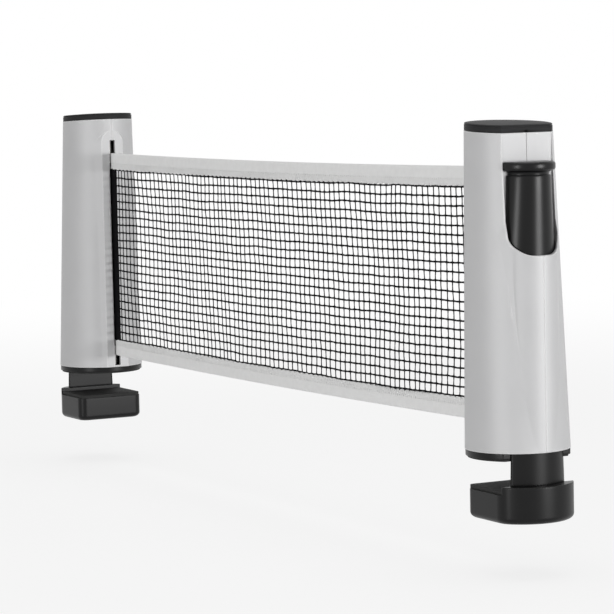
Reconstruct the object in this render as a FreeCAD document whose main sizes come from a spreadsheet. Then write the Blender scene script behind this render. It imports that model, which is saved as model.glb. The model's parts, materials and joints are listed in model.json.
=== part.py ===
import FreeCAD, Part
import math
import os
import re
import Sketcher

# Retractable table tennis net on two spring clamp posts, clamped to a 15.5 mm thick table.
# Frame: origin on the table top, in the middle of the near post's foot; +X runs along the net
# to the far post, +Z is up. The far post is the near post turned half a turn about Z.

doc = FreeCAD.newDocument("net_clamp")
sheet = doc.addObject("Spreadsheet::Sheet", "Dimensions")

DIMENSIONS = (
    # the set as a whole
    ("post_spacing", 543.2, "between the two foot circles"),
    ("table_gauge", 15.5, "thickness of the table edge the clamps hold"),
    # tapered housing of one post
    ("base_radius", 28.35, "housing circle on the table"),
    ("top_radius", 23.5, "housing circle at the top of the cap"),
    ("post_height", 177.0, "top of the cap above the table"),
    ("foot_z", 4.3, "lower edge of the silver shells"),
    ("cap_z", 172.9, "upper edge of the silver shells at the drum axis"),
    ("top_rise", 2.1, "that edge is higher at the net than at the flat"),
    ("wall_gauge", 2.0, "shell wall"),
    ("nose_radius", 15.7, "front nose round the grip column"),
    ("nose_x", -12.65, "axis of the nose"),
    ("nose_top_x", -3.4, "the flanks lean back into the round body at the cap"),
    ("flank_inset", 0.05, "flanks stay this far inside the round faces they touch"),
    ("rim_z", 108.0, "lowest point of the grip recess"),
    ("rim_radius", 11.0, "lower corners of the grip recess"),
    ("floor_x", -13.15, "flat floor of the grip recess"),
    ("floor_half", 15.5, "half width of the recess"),
    ("slot_half", 2.15, "half width of the net slot"),
    ("slot_low", 5.5, "lower end of the net slot"),
    ("slot_high", 159.5, "upper end of the net slot"),
    ("face_half", 7.8, "half width of the flat face round the slot"),
    ("face_top", 166.0, "crown of that face"),
    ("skirt_half", 13.5, "half width where its flanks meet the round body"),
    ("skirt_top", 168.5, "crown of the flanks"),
    ("skirt_x", 24.1, "depth where the flanks start"),
    ("boss_radius", 3.0, "screw boss"),
    ("screw_x", -7.0, "base screws and their bosses"),
    ("screw_y", 22.3, "their distance from the middle"),
    ("screw_tip", 13.0, "depth of the base screws in the shells"),
    ("pilot_radius", 1.2, "screw core"),
    # clamp: grip column, jaw, pad, spring
    ("travel_up", 15.2, "clamp travel until the pads meet"),
    ("slide_gap", 0.25, "running gap round the grip column"),
    ("grip_top_z", 149.0, "upper end of the tapered column"),
    ("grip_low_z", -13.2, "lower end of the tapered column"),
    ("grip_top_half", 13.0, "half width at the top"),
    ("grip_low_half", 17.5, "half width at the jaw"),
    ("front_x", -25.5, "upright foremost line"),
    ("front_top_radius", 13.0, "roundness of the front at the top"),
    ("front_low_radius", 25.0, "roundness of the front at the jaw"),
    ("back_x", -13.4, "open back of the column"),
    ("step_z", 36.0, "below this level only the thin tongue passes the table edge"),
    ("tongue_back_x", -19.0, "back of the tongue"),
    ("grip_wall", 2.2, "wall of the column"),
    ("well_low", 39.5, "spring well, lower end"),
    ("well_high", 140.0, "spring well, upper end"),
    ("lip_radius", 15.1, "thumb lip"),
    ("lip_low", 152.0, "underside of the lip"),
    ("lip_high", 156.8, "top of the lip"),
    ("lip_bevel", 0.9, "bevels of the lip"),
    ("neck_inset", 0.4, "neck under the lip, behind the column's front"),
    ("lip_well_half", 9.0, "hollow behind the lip, half width"),
    ("lip_well_depth", 7.0, "depth of that hollow"),
    ("lip_web", 3.5, "walls above and below it"),
    ("tenon_low", -26.0, "foot of the tenon in the jaw"),
    ("tenon_front_x", -24.3, "front of the tenon"),
    ("tenon_back_x", -19.8, "back of the tenon"),
    ("tenon_half", 13.5, "half width of the tenon"),
    ("jaw_half", 23.0, "half width of the jaw"),
    ("jaw_front_x", -31.65, "foremost line of the jaw"),
    ("jaw_shoulder_x", -19.2, "where the round front of the jaw starts"),
    ("jaw_inner_x", 15.6, "end of the arm under the table"),
    ("jaw_low", -33.0, "underside of the jaw"),
    ("jaw_high", -13.2, "top of the stop that meets the table edge"),
    ("stop_x", -18.9, "face of that stop"),
    ("arm_high", -17.5, "seat of the rubber pad"),
    ("jaw_bevel", 1.6, "bevel of the lower edge"),
    ("jaw_corner", 3.0, "inner corners of the arm"),
    ("jaw_pad_inset", 1.2, "rubber pad behind the sides of the arm"),
    ("jaw_pad_gap", 0.6, "between that pad and the stop"),
    ("jaw_sink", 2.0, "depth of the sink for the jaw screw"),
    ("jaw_head_lift", 0.4, "its head above the underside"),
    ("spring_x", -18.2, "axis of spring and rod"),
    ("spring_radius", 4.0, "outer radius of the clamp spring"),
    ("spring_bore", 3.0, "inner radius of the clamp spring"),
    ("shelf_low", 56.0, "spring shelf of the housing, underside"),
    ("shelf_high", 59.0, "spring shelf, top"),
    ("shelf_half", 5.2, "half width of the shelf"),
    ("shelf_front_x", -21.4, "front of the shelf"),
    ("rod_radius", 2.0, "spring guide rod"),
    ("rod_high", 105.0, "top of the rod"),
    # cap, base plate, foot pad
    ("cap_inset", 0.15, "cap edge behind the shell"),
    ("cap_step_z", 176.1, "step below the top of the cap, at the drum axis"),
    ("cap_step", 0.7, "inset of the upper step"),
    ("cap_flat_x", -12.95, "flat side of the cap"),
    ("notch_half", 1.2, "finger notch at the seam, half width and depth"),
    ("notch_height", 1.4, "height of the notch"),
    ("tab_low", 168.4, "lower end of the cap tabs"),
    ("tab_gap", 0.12, "gap between tab and partition"),
    ("tab_gauge", 1.8, "thickness of a tab"),
    ("tab_half", 6.0, "half length of a tab"),
    ("tab_reach", 17.0, "side tabs, distance from the middle"),
    ("pad_gauge", 1.0, "foot pad"),
    ("pad_inset", 1.4, "foot pad behind the plate edge"),
    ("plate_inset", 0.3, "plate edge behind the shell"),
    ("plate_chord_x", -18.7, "straight edge above the table edge"),
    ("head_radius", 2.5, "screw head"),
    ("head_gauge", 1.5, "screw head height"),
    # net drum inside the near post
    ("drum_x", 7.6, "axis of the net drum"),
    ("shaft_radius", 2.0, "drum shaft"),
    ("shaft_low", 2.7, "foot of the shaft in the base plate"),
    ("socket_radius", 4.2, "shaft sockets of plate and cap"),
    ("tube_lift", 0.4, "gap between socket and drum tube"),
    ("tube_radius", 7.0, "drum tube"),
    ("tube_bore", 5.4, "bore of the drum tube"),
    ("tube_low", 9.4, "lower end of the drum tube"),
    ("tube_high", 168.0, "upper end of the drum tube"),
    ("plug_gauge", 6.0, "end plugs"),
    ("plug_gap", 0.06, "running fit of the plugs on the shaft"),
    ("roll_radius", 16.0, "wound net at this opening"),
    ("wind_radius", 3.6, "return spring, outer"),
    # net
    ("net_near_x", 26.9, "net edge in the near slot"),
    ("net_near_high", 153.4, "top of the net at the near post"),
    ("net_near_low", 15.2, "bottom of the net at the near post"),
    ("net_far_high", 150.7, "top of the net at the far post"),
    ("net_far_low", 12.2, "bottom of the net at the far post"),
    ("tape_width", 11.0, "edge tapes"),
    ("tape_half", 0.9, "half thickness of a tape"),
    ("mesh_half", 0.5, "half thickness of the mesh"),
    ("mesh_thread", 2.0, "thread width of the coarse mesh"),
    ("mesh_columns", 14, "gaps along the net"),
    ("mesh_rows", 5, "gaps up the net"),
    ("strip_width", 8.0, "end strip outside the far post"),
    ("strip_half", 0.7, "half thickness of the end strip"),
    ("anchor_x", 21.6, "anchor rod in the far post"),
    ("anchor_radius", 2.4, "anchor rod"),
    ("anchor_seat", 1.5, "seat of the rod in the base plate"),
    ("loop_gauge", 0.9, "strip wrapped round the anchor rod"),
)

for row, (alias, size, remark) in enumerate(DIMENSIONS, start=1):
    sheet.set("A%d" % row, remark)
    sheet.set("B%d" % row, str(size))
    sheet.setAlias("B%d" % row, alias)
doc.recompute()

ALIAS = re.compile(r"\b([a-z]+(?:_[a-z]+)+)\b")
NEAR = FreeCAD.Placement()
SIDES = (("left", 1), ("right", -1))
ROOM_SIDES = 16


def spelled(expression):
    """The expression with every dimension name pointing at the sheet."""
    return ALIAS.sub(r"Dimensions.\1", str(expression))


def number(expression):
    """Present value of an expression."""
    return float(sheet.evalExpression(spelled(expression)))


def bind(item, prop, expression):
    item.setExpression(prop, spelled(expression))


def placed_far():
    """The far post's place: half a turn about Z, one post spacing away."""
    turn = FreeCAD.Rotation(FreeCAD.Vector(0, 0, 1), 180)
    return FreeCAD.Placement(FreeCAD.Vector(number("post_spacing"), 0, 0), turn)


# Sketches and features

def start_body(label):
    body = doc.addObject("PartDesign::Body", "Body_" + label)
    body.Label = label
    return body


PLANES = {
    "XY_Plane": (FreeCAD.Rotation(), "z", 1),
    "XZ_Plane": (FreeCAD.Rotation(FreeCAD.Vector(1, 0, 0), 90), "y", -1),
    "YZ_Plane": (FreeCAD.Rotation(FreeCAD.Vector(1, 1, 1), 120), "x", 1),
}


def attach(body, name, plane, height):
    """Sketch at a height along the normal of a plane: in a body, or loose when body is None."""
    if body is None:
        sketch = doc.addObject("Sketcher::SketchObject", name)
        turn, axis, sense = PLANES[plane]
        sketch.Placement = FreeCAD.Placement(FreeCAD.Vector(), turn)
        bind(sketch, "Placement.Base." + axis, "%d * (%s)" % (sense, height))
        return sketch
    sketch = body.newObject("Sketcher::SketchObject", name)
    support = [item for item in body.Origin.OriginFeatures if item.Role == plane][0]
    sketch.AttachmentSupport = [(support, "")]
    sketch.MapMode = "FlatFace"
    bind(sketch, "AttachmentOffset.Base.z", height)
    return sketch


def pin(sketch, kind, axis, edge, point, expression):
    """Hold one coordinate of a point: on the axis when zero, else at a bound distance."""
    if abs(number(expression)) < 1e-9:
        sketch.addConstraint(Sketcher.Constraint("PointOnObject", edge, point, axis))
        return
    index = sketch.addConstraint(Sketcher.Constraint(kind, -1, 1, edge, point, number(expression)))
    bind(sketch, "Constraints[%d]" % index, expression)


def outline(body, name, plane, height, corners):
    """Closed sketch. Each corner is (x, y) or (x, y, arc) where arc = (centre x, centre y,
    radius, turn) describes the round edge that leaves the corner, turn +1 anticlockwise."""
    sketch = attach(body, name, plane, height)
    starts = []
    ends = []
    for index, corner in enumerate(corners):
        follower = corners[(index + 1) % len(corners)]
        here = FreeCAD.Vector(number(corner[0]), number(corner[1]), 0)
        there = FreeCAD.Vector(number(follower[0]), number(follower[1]), 0)
        if len(corner) == 2:
            sketch.addGeometry(Part.LineSegment(here, there), False)
            starts.append(1)
            ends.append(2)
            continue
        centre_x, centre_y, radius, turn = corner[2]
        centre = FreeCAD.Vector(number(centre_x), number(centre_y), 0)
        first, last = (here, there) if turn > 0 else (there, here)
        angles = [math.atan2(spot.y - centre.y, spot.x - centre.x) for spot in (first, last)]
        circle = Part.Circle(centre, FreeCAD.Vector(0, 0, 1), number(radius))
        sketch.addGeometry(Part.ArcOfCircle(circle, angles[0], angles[1]), False)
        starts.append(1 if turn > 0 else 2)
        ends.append(2 if turn > 0 else 1)
    for index, corner in enumerate(corners):
        follower = (index + 1) % len(corners)
        sketch.addConstraint(
            Sketcher.Constraint("Coincident", index, ends[index], follower, starts[follower]))
        pin(sketch, "DistanceX", -2, index, starts[index], corner[0])
        pin(sketch, "DistanceY", -1, index, starts[index], corner[1])
    for index, corner in enumerate(corners):
        if len(corner) == 3:
            held = sketch.addConstraint(
                Sketcher.Constraint("Radius", index, number(corner[2][2])))
            bind(sketch, "Constraints[%d]" % held, corner[2][2])
    return sketch


def discs(body, name, height, radius, centres):
    """Sketch of equal circles on the XY plane."""
    sketch = attach(body, name, "XY_Plane", height)
    for index, (x, y) in enumerate(centres):
        middle = FreeCAD.Vector(number(x), number(y), 0)
        sketch.addGeometry(Part.Circle(middle, FreeCAD.Vector(0, 0, 1), number(radius)), False)
        pin(sketch, "DistanceX", -2, index, 3, x)
        pin(sketch, "DistanceY", -1, index, 3, y)
        held = sketch.addConstraint(Sketcher.Constraint("Radius", index, number(radius)))
        bind(sketch, "Constraints[%d]" % held, radius)
    return sketch


def rectangle(body, name, plane, height, low_x, low_y, high_x, high_y):
    corners = ((low_x, low_y), (high_x, low_y), (high_x, high_y), (low_x, high_y))
    return outline(body, name, plane, height, corners)


def settle(body, item, before, adds):
    """Recompute, then make sure that the feature holds and changed the volume its own way."""
    doc.recompute()
    if "Touched" in item.State or item.Shape.isNull():
        raise RuntimeError("%s of %s failed" % (item.Name, body.Label))
    if (body.Shape.Volume > before) != adds or abs(body.Shape.Volume - before) < 0.01:
        raise RuntimeError("%s of %s went the wrong way" % (item.Name, body.Label))


def feature(body, kind, sketch, length):
    """Pad upwards along the sketch normal, or pocket against it; the volume must follow."""
    before = body.Shape.Volume if body.Tip else 0.0
    item = body.newObject("PartDesign::" + kind, kind + "_" + sketch.Name)
    item.Profile = sketch
    bind(item, "Length", length)
    settle(body, item, before, kind == "Pad")
    return item


def bevelled(body, size, chosen):
    """Chamfer of the edges of the present shape that the test picks."""
    base = body.Tip
    names = ["Edge%d" % (index + 1) for index, edge in enumerate(base.Shape.Edges) if chosen(edge)]
    if not names:
        raise RuntimeError("no edge to bevel on " + body.Label)
    before = body.Shape.Volume
    item = body.newObject("PartDesign::Chamfer", "Chamfer_" + body.Name)
    item.Base = (base, names)
    bind(item, "Size", size)
    settle(body, item, before, False)


# Part primitives

def cylinder(name, radius, low, high, x, y="0"):
    item = doc.addObject("Part::Cylinder", name)
    bind(item, "Radius", radius)
    bind(item, "Height", "(%s) - (%s)" % (high, low))
    bind(item, "Placement.Base.x", x)
    bind(item, "Placement.Base.y", y)
    bind(item, "Placement.Base.z", low)
    return item


def block(name, low, high):
    item = doc.addObject("Part::Box", name)
    for side, start, end in zip(("Length", "Width", "Height"), low, high):
        bind(item, side, "(%s) - (%s)" % (end, start))
    for axis, start in zip("xyz", low):
        bind(item, "Placement.Base." + axis, start)
    return item


def joined(kind, name, base, tool):
    item = doc.addObject("Part::" + kind, name)
    item.Base = base
    item.Tool = tool
    return item


def tube(label, radius, bore, low, high, x):
    outer = cylinder(label + "_outer", radius, low, high, x)
    inner = cylinder(label + "_bore", bore, "(%s) - 1" % low, "(%s) + 1" % high, x)
    item = joined("Cut", label + "_cut", outer, inner)
    item.Label = label
    return item


# Housing geometry: a cone that leans so that its net-side line is upright, a round nose in
# front, and flanks that touch both.

def leaning_cone(name, upright, sense, low_radius, high_radius, low, high, grow="0"):
    """Cone with one upright line at x = upright and its axis on the sense side of that line."""
    half = "(atan(2 * (%s - %s) / (%s - %s)) / 2)" % (low_radius, high_radius, high, low)
    spare = "10"
    first = "(%s + %s * (%s - %s) / (%s - %s))" % (low_radius, spare, low_radius, high_radius,
                                                   high, low)
    reach = "(%s * (1 - tan(%s) ^ 2))" % (first, half)
    length = "((%s - %s + 2 * %s) / cos(%s))" % (high, low, spare, half)
    radius = "(%s / cos(%s) + %s)" % (reach, half, grow)
    item = doc.addObject("Part::Cone", name)
    lean = FreeCAD.Rotation(FreeCAD.Vector(0, -sense, 0), number(half))
    item.Placement = FreeCAD.Placement(FreeCAD.Vector(), lean)
    bind(item, "Placement.Rotation.Angle", half)
    bind(item, "Placement.Base.x", "%s + %d * %s" % (upright, sense, reach))
    bind(item, "Placement.Base.z", "%s - %s" % (low, spare))
    bind(item, "Radius1", radius)
    bind(item, "Height", length)
    bind(item, "Radius2", "%s - %s * tan(%s)" % (radius, length, half))
    return item


def body_radius(level):
    return "(base_radius - (base_radius - top_radius) * (%s) / post_height)" % level


def body_x(level):
    return "(base_radius - %s)" % body_radius(level)


def top_lean():
    """Angle of the sloping top, which rises towards the net."""
    return "atan(top_rise / (base_radius - cap_flat_x))"


def below_top(name, reach, depth):
    """Block under the sloping top of the shells, which passes through the drum axis at cap_z."""
    lean = top_lean()
    item = doc.addObject("Part::Box", name)
    turn = FreeCAD.Rotation(FreeCAD.Vector(0, -1, 0), number(lean))
    item.Placement = FreeCAD.Placement(FreeCAD.Vector(), turn)
    bind(item, "Placement.Rotation.Angle", lean)
    bind(item, "Length", "2 * (%s)" % reach)
    bind(item, "Width", "2 * (%s)" % reach)
    bind(item, "Height", depth)
    bind(item, "Placement.Base.x", "drum_x - %s * cos(%s) + %s * sin(%s)" % (reach, lean, depth, lean))
    bind(item, "Placement.Base.y", "-(%s)" % reach)
    bind(item, "Placement.Base.z", "cap_z - %s * sin(%s) - %s * cos(%s)" % (reach, lean, depth, lean))
    return item


def lean_with_top(sketch):
    """Tilt a level sketch of a body into the plane of the sloping top."""
    lean = top_lean()
    turn = FreeCAD.Rotation(FreeCAD.Vector(0, -1, 0), number(lean))
    sketch.AttachmentOffset = FreeCAD.Placement(FreeCAD.Vector(), turn)
    bind(sketch, "AttachmentOffset.Rotation.Angle", lean)
    bind(sketch, "AttachmentOffset.Base.z", "cap_z - drum_x * tan(%s)" % lean)
    return sketch


def many_sided(name, level, radius, sides):
    """Regular outline whose sides touch the circle round the axis of the body, one facing the net."""
    step = 2 * math.pi / sides
    reach = "%s / %.6f" % (radius, math.cos(step / 2))
    corners = []
    for index in range(sides):
        angle = step * (index + 0.5)
        corners.append(("%s + %s * %.6f" % (body_x(level), reach, math.cos(angle)),
                        "%s * %.6f" % (reach, math.sin(angle))))
    return outline(None, name, "XY_Plane", level, corners)


def flank_section(name, level, nose, side):
    """Plan of one flank: from the tangent point on the nose to the one on the body."""
    big = "(%s - flank_inset)" % body_radius(level)
    small = "(nose_radius - flank_inset)"
    big_x = body_x(level)
    lean = "((%s - %s) / (%s - %s))" % (small, big, big_x, nose)
    rise = "(%d * sqrt(1 - %s ^ 2))" % (side, lean)
    return outline(None, name, "XY_Plane", level, (
        (nose, "0"),
        ("%s + %s * %s" % (nose, lean, small), "%s * %s" % (rise, small)),
        ("%s + %s * %s" % (big_x, lean, big), "%s * %s" % (rise, big)),
        (big_x, "0"),
    ))


def net_face_arch(name, plane_x, half, crown, side):
    """Half of the arch-topped face round the net slot."""
    spring_line = "(%s - %s)" % (crown, half)
    return outline(None, name, "YZ_Plane", plane_x, (
        ("0", "foot_z"),
        ("%d * %s" % (side, half), "foot_z"),
        ("%d * %s" % (side, half), spring_line, ("0", spring_line, half, side)),
        ("0", crown),
    ))


def solid_loft(name, sections):
    item = doc.addObject("Part::Loft", name)
    item.Sections = list(sections)
    item.Solid = True
    item.Ruled = True
    return item


def extruded(name, sketch, length, direction):
    item = doc.addObject("Part::Extrusion", name)
    item.Base = sketch
    item.DirMode = "Custom"
    item.Dir = direction
    bind(item, "LengthFwd", length)
    item.Solid = True
    return item


def gathered(name, members):
    item = doc.addObject("Part::MultiFuse", name)
    item.Shapes = members
    return item


def side_block(name, side, low, high, reach):
    """Box on one side of the net plane: low and high are (x, z) corners."""
    ends = ("0", reach) if side > 0 else ("-(%s)" % reach, "0")
    return block(name, (low[0], ends[0], low[1]), (high[0], ends[1], high[1]))


def grip_flare(body, name, plane_x, low, high, lift, spare):
    """Front view of the grip column: its sides spread evenly towards the jaw."""
    def half(level):
        rate = "(grip_low_half - grip_top_half) / (grip_top_z - grip_low_z)"
        return "(grip_top_half + %s * (grip_top_z + %s - %s) + %s)" % (rate, lift, level, spare)
    return outline(body, name, "YZ_Plane", plane_x, (
        ("-" + half(low), low),
        (half(low), low),
        (half(high), high),
        ("-" + half(high), high),
    ))


def grip_channel(name):
    """Space the grip column needs at the top of its travel, with its running gap."""
    cone = leaning_cone(name + "_cone", "front_x", 1, "front_low_radius", "front_top_radius",
                        "(grip_low_z + travel_up)", "(grip_top_z + travel_up)", "slide_gap")
    flare = grip_flare(None, name + "_flare", "2 * front_x", "(foot_z - 1)",
                       "(rim_z + rim_radius + 4)", "travel_up", "slide_gap")
    prism = extruded(name + "_prism", flare, "floor_x - 2 * front_x", FreeCAD.Vector(1, 0, 0))
    return joined("Common", name, cone, prism)


def housing_outside(name, side):
    """Outer form of one silver half shell, split in the plane of the net."""
    body = leaning_cone(name + "_body", "base_radius", -1, "base_radius", "top_radius",
                        "0", "post_height")
    nose = cylinder(name + "_nose", "nose_radius", "foot_z - 1", "rim_z + rim_radius", "nose_x")
    levels = (("foot_z", "nose_x"), ("(rim_z + foot_z) / 3", "nose_x"),
              ("rim_z + rim_radius", "nose_x"), ("cap_z", "nose_top_x"))
    flank = solid_loft(name + "_flank", [
        flank_section("%s_flank_%d" % (name, index), level, nose_axis, side)
        for index, (level, nose_axis) in enumerate(levels)])
    face = solid_loft(name + "_net_face", (
        net_face_arch(name + "_arch_foot", "skirt_x", "skirt_half", "skirt_top", side),
        net_face_arch(name + "_arch_top", "base_radius", "face_half", "face_top", side),
    ))
    whole = gathered(name + "_whole", [body, nose, flank, face])
    reach = "1.2 * base_radius"
    half = side_block(name + "_half", side, ("-" + reach, "foot_z"), (reach, "post_height"), reach)
    top = below_top(name + "_top", "2 * base_radius", "post_height")
    keep = joined("Common", name + "_keep", half, top)
    return joined("Common", name + "_outside", whole, keep)


def housing_shell(label, side):
    """One silver half shell with its partition, grip channel, spring shelf and screw boss."""
    name = label + "_form"
    inner_x = "(floor_x + wall_gauge)"
    room_round = solid_loft(name + "_room_round", [
        many_sided("%s_room_%d" % (name, index), level,
                   "(%s - wall_gauge)" % body_radius(level), ROOM_SIDES)
        for index, level in enumerate(("0", "post_height"))])
    room_block = block(name + "_room_block", (inner_x, "-base_radius", "0"),
                       ("base_radius", "base_radius", "post_height"))
    room = joined("Common", name + "_room", room_round, room_block)
    edge = "%d * floor_half" % side
    bend = "%d * (floor_half - rim_radius)" % side
    recess = extruded(name + "_recess", outline(None, name + "_recess_view", "YZ_Plane", "floor_x", (
        ("0", "rim_z"),
        (bend, "rim_z", (bend, "rim_z + rim_radius", "rim_radius", side)),
        (edge, "rim_z + rim_radius"),
        (edge, "cap_z + 1"),
        ("0", "cap_z + 1"),
    )), "base_radius", FreeCAD.Vector(-1, 0, 0))
    slot = side_block(name + "_slot", side, ("base_radius - wall_gauge - 1", "slot_low"),
                      ("base_radius + 1", "slot_high"), "slot_half")
    cavity = gathered(name + "_cavity", [room, recess, slot, grip_channel(name + "_channel")])
    hollow = joined("Cut", name + "_hollow", housing_outside(name, side), cavity)
    shelf = side_block(name + "_shelf", side, ("shelf_front_x", "shelf_low"),
                       ("floor_x + wall_gauge / 2", "shelf_high"), "shelf_half")
    side_y = "%d * screw_y" % side
    boss = cylinder(name + "_boss", "boss_radius", "foot_z", "screw_tip + 0.5", "screw_x", side_y)
    pilot = cylinder(name + "_pilot", "pilot_radius", "0", "screw_tip + 1", "screw_x", side_y)
    rod_hole = cylinder(name + "_rod_hole", "rod_radius", "shelf_low - 1", "shelf_high + 1",
                        "spring_x")
    fitted = gathered(name + "_fitted", [hollow, shelf, boss])
    drills = gathered(name + "_drills", [pilot, rod_hole])
    shell = joined("Cut", name + "_shell", fitted, drills)
    shell.Label = label
    return shell


def axis_of_arc(front, shoulder, half):
    """Axis on y = 0 of the arc through the front and both shoulders."""
    return "((%s ^ 2 - %s ^ 2 - %s ^ 2) / (2 * (%s - %s)))" % (front, shoulder, half, front, shoulder)


def flat_sided_disc(body, name, height, x, radius, chord):
    """Circle with a straight side at the chord, towards -X."""
    half = "sqrt((%s) ^ 2 - (%s - %s) ^ 2)" % (radius, chord, x)
    return outline(body, name, "XY_Plane", height, (
        (chord, half),
        (chord, "-" + half, (x, "0", radius, 1)),
    ))


def top_cap(label, has_drum):
    """Two-step flat-sided lid with tabs inside the shells; a socket holds the drum shaft."""
    body = start_body(label)
    middle = body_x("cap_z")
    radius = "(%s - cap_inset)" % body_radius("cap_z")
    lower = flat_sided_disc(body, label + "_lower", "0", middle, radius, "cap_flat_x")
    feature(body, "Pad", lean_with_top(lower), "cap_step_z - cap_z")
    upper = flat_sided_disc(body, label + "_upper", "0", middle, "(%s - cap_step)" % radius,
                            "cap_flat_x + cap_step")
    feature(body, "Pad", lean_with_top(upper), "post_height - cap_z")
    root = "(cap_z + top_rise / 2)"
    inner_x = "(floor_x + wall_gauge + tab_gap)"
    tabs = {
        "flat": (inner_x, "-tab_half", inner_x + " + tab_gauge", "tab_half"),
        "left": ("drum_x - tab_half", "tab_reach", "drum_x + tab_half", "tab_reach + tab_gauge"),
        "right": ("drum_x - tab_half", "-tab_reach - tab_gauge", "drum_x + tab_half",
                  "-tab_reach"),
    }
    for name, corners in tabs.items():
        feature(body, "Pad", rectangle(body, "%s_tab_%s" % (label, name), "XY_Plane", "tab_low",
                                       *corners), root + " - tab_low")
    if has_drum:
        feature(body, "Pad", discs(body, label + "_socket", "tab_low", "socket_radius",
                                   (("drum_x", "0"),)), root + " - tab_low")
        feature(body, "Pocket", discs(body, label + "_bore", "cap_z", "shaft_radius",
                                      (("drum_x", "0"),)), "cap_z - tab_low")
    notch_high = "(cap_z + notch_height - (drum_x - cap_flat_x) * tan(%s))" % top_lean()
    feature(body, "Pocket", rectangle(body, label + "_notch", "XY_Plane", notch_high,
                                      "cap_flat_x - 1", "-notch_half", "cap_flat_x + notch_half",
                                      "notch_half"), "2 * notch_height")
    return body


def screw_places():
    return (("screw_x", "screw_y"), ("screw_x", "-screw_y"))


def base_plate(label, has_drum):
    """Flat-sided plate under the shells; its straight edge lies above the table edge. It holds
    the drum shaft in one post and the anchor rod in the other."""
    body = start_body(label)
    radius = "(%s - plate_inset)" % body_radius("foot_z")
    feature(body, "Pad", flat_sided_disc(body, label + "_disc", "pad_gauge", "0", radius,
                                         "plate_chord_x"), "foot_z - pad_gauge")
    if has_drum:
        feature(body, "Pad", discs(body, label + "_socket", "foot_z", "socket_radius",
                                   (("drum_x", "0"),)), "tube_low - foot_z - tube_lift")
        feature(body, "Pocket", discs(body, label + "_bore", "tube_low - tube_lift",
                                      "shaft_radius", (("drum_x", "0"),)),
                "tube_low - tube_lift - shaft_low")
    else:
        feature(body, "Pocket", discs(body, label + "_anchor_seat", "foot_z", "anchor_radius",
                                      (("anchor_x", "0"),)), "anchor_seat")
    feature(body, "Pocket", discs(body, label + "_holes", "foot_z", "pilot_radius",
                                  screw_places()), "foot_z - pad_gauge")
    feature(body, "Pocket", discs(body, label + "_sinks", "pad_gauge + head_gauge",
                                  "head_radius", screw_places()), "head_gauge")
    return body


def foot_pad(label):
    """Rubber sheet on the table; it hides the screw heads."""
    body = start_body(label)
    radius = "(%s - pad_inset)" % body_radius("foot_z")
    feature(body, "Pad", flat_sided_disc(body, label + "_sheet", "0", "0", radius,
                                         "plate_chord_x + 0.3"), "pad_gauge")
    return body


def hexagon(name, radius, low, high, x, y):
    item = doc.addObject("Part::Prism", name)
    item.Polygon = 6
    bind(item, "Circumradius", radius)
    bind(item, "Height", "(%s) - (%s)" % (high, low))
    bind(item, "Placement.Base.x", x)
    bind(item, "Placement.Base.y", y)
    bind(item, "Placement.Base.z", low)
    return item


def screw_group(label, places, head_low, head_high, radius, tip):
    """Equal screws with hexagon heads below, one solid each."""
    screws = []
    for index, (x, y) in enumerate(places):
        name = "%s_%d" % (label, index + 1)
        head = hexagon(name + "_head", radius, head_low, head_high, x, y)
        shank = cylinder(name + "_shank", "pilot_radius", head_high, tip, x, y)
        screws.append(joined("Fuse", name, head, shank))
    group = doc.addObject("Part::Compound", label + "_group")
    group.Links = screws
    group.Label = label
    return group


def grip_column(label):
    """Half-round column with a thumb lip; hollow and open at the back, where the spring sits."""
    cone = leaning_cone(label + "_cone", "front_x", 1, "front_low_radius", "front_top_radius",
                        "grip_low_z", "grip_top_z")
    flare = grip_flare(None, label + "_flare", "2 * front_x", "grip_low_z", "grip_top_z", "0", "0")
    prism = extruded(label + "_prism", flare, "back_x - 2 * front_x", FreeCAD.Vector(1, 0, 0))
    column = joined("Common", label + "_column", cone, prism)
    body = start_body(label)
    body.BaseFeature = column
    doc.recompute()
    lip = lip_profile(body, label + "_lip")
    turned = body.newObject("PartDesign::Revolution", label + "_lip_turned")
    turned.Profile = lip
    turned.ReferenceAxis = (lip, ["V_Axis"])
    turned.Angle = 360
    doc.recompute()
    feature(body, "Pocket", rectangle(body, label + "_trim", "XY_Plane", "lip_high + 1",
                                      "back_x", "-lip_radius - 2", "-back_x", "lip_radius + 2"),
            "lip_high + 1 - grip_top_z + 6")
    feature(body, "Pocket", rectangle(body, label + "_step", "XY_Plane", "step_z",
                                      "tongue_back_x", "-grip_low_half - 1",
                                      "back_x + 1", "grip_low_half + 1"),
            "step_z - grip_low_z + 1")
    half = "(grip_top_half - grip_wall)"
    front = "(front_x + grip_wall)"
    shoulder = "(back_x - 0.6)"
    centre = axis_of_arc(front, shoulder, half)
    well = outline(body, label + "_well", "XY_Plane", "well_high", (
        ("back_x + 1", "-" + half),
        ("back_x + 1", half),
        (shoulder, half, (centre, "0", "(%s - %s)" % (centre, front), 1)),
        (shoulder, "-" + half),
    ))
    feature(body, "Pocket", well, "well_high - well_low")
    feature(body, "Pocket", rectangle(body, label + "_lip_well", "YZ_Plane", "back_x",
                                      "-lip_well_half", "well_high + lip_web",
                                           "lip_well_half", "lip_high - lip_web"),
            "lip_well_depth")
    feature(body, "Pad", rectangle(body, label + "_tenon", "XY_Plane", "tenon_low",
                                   "tenon_front_x", "-tenon_half", "tenon_back_x", "tenon_half"),
            "grip_low_z - tenon_low")
    feature(body, "Pocket", discs(body, label + "_pilots", "grip_low_z + 2", "pilot_radius",
                                  jaw_screw_places()), "grip_low_z + 2 - tenon_low")
    return body


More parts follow.
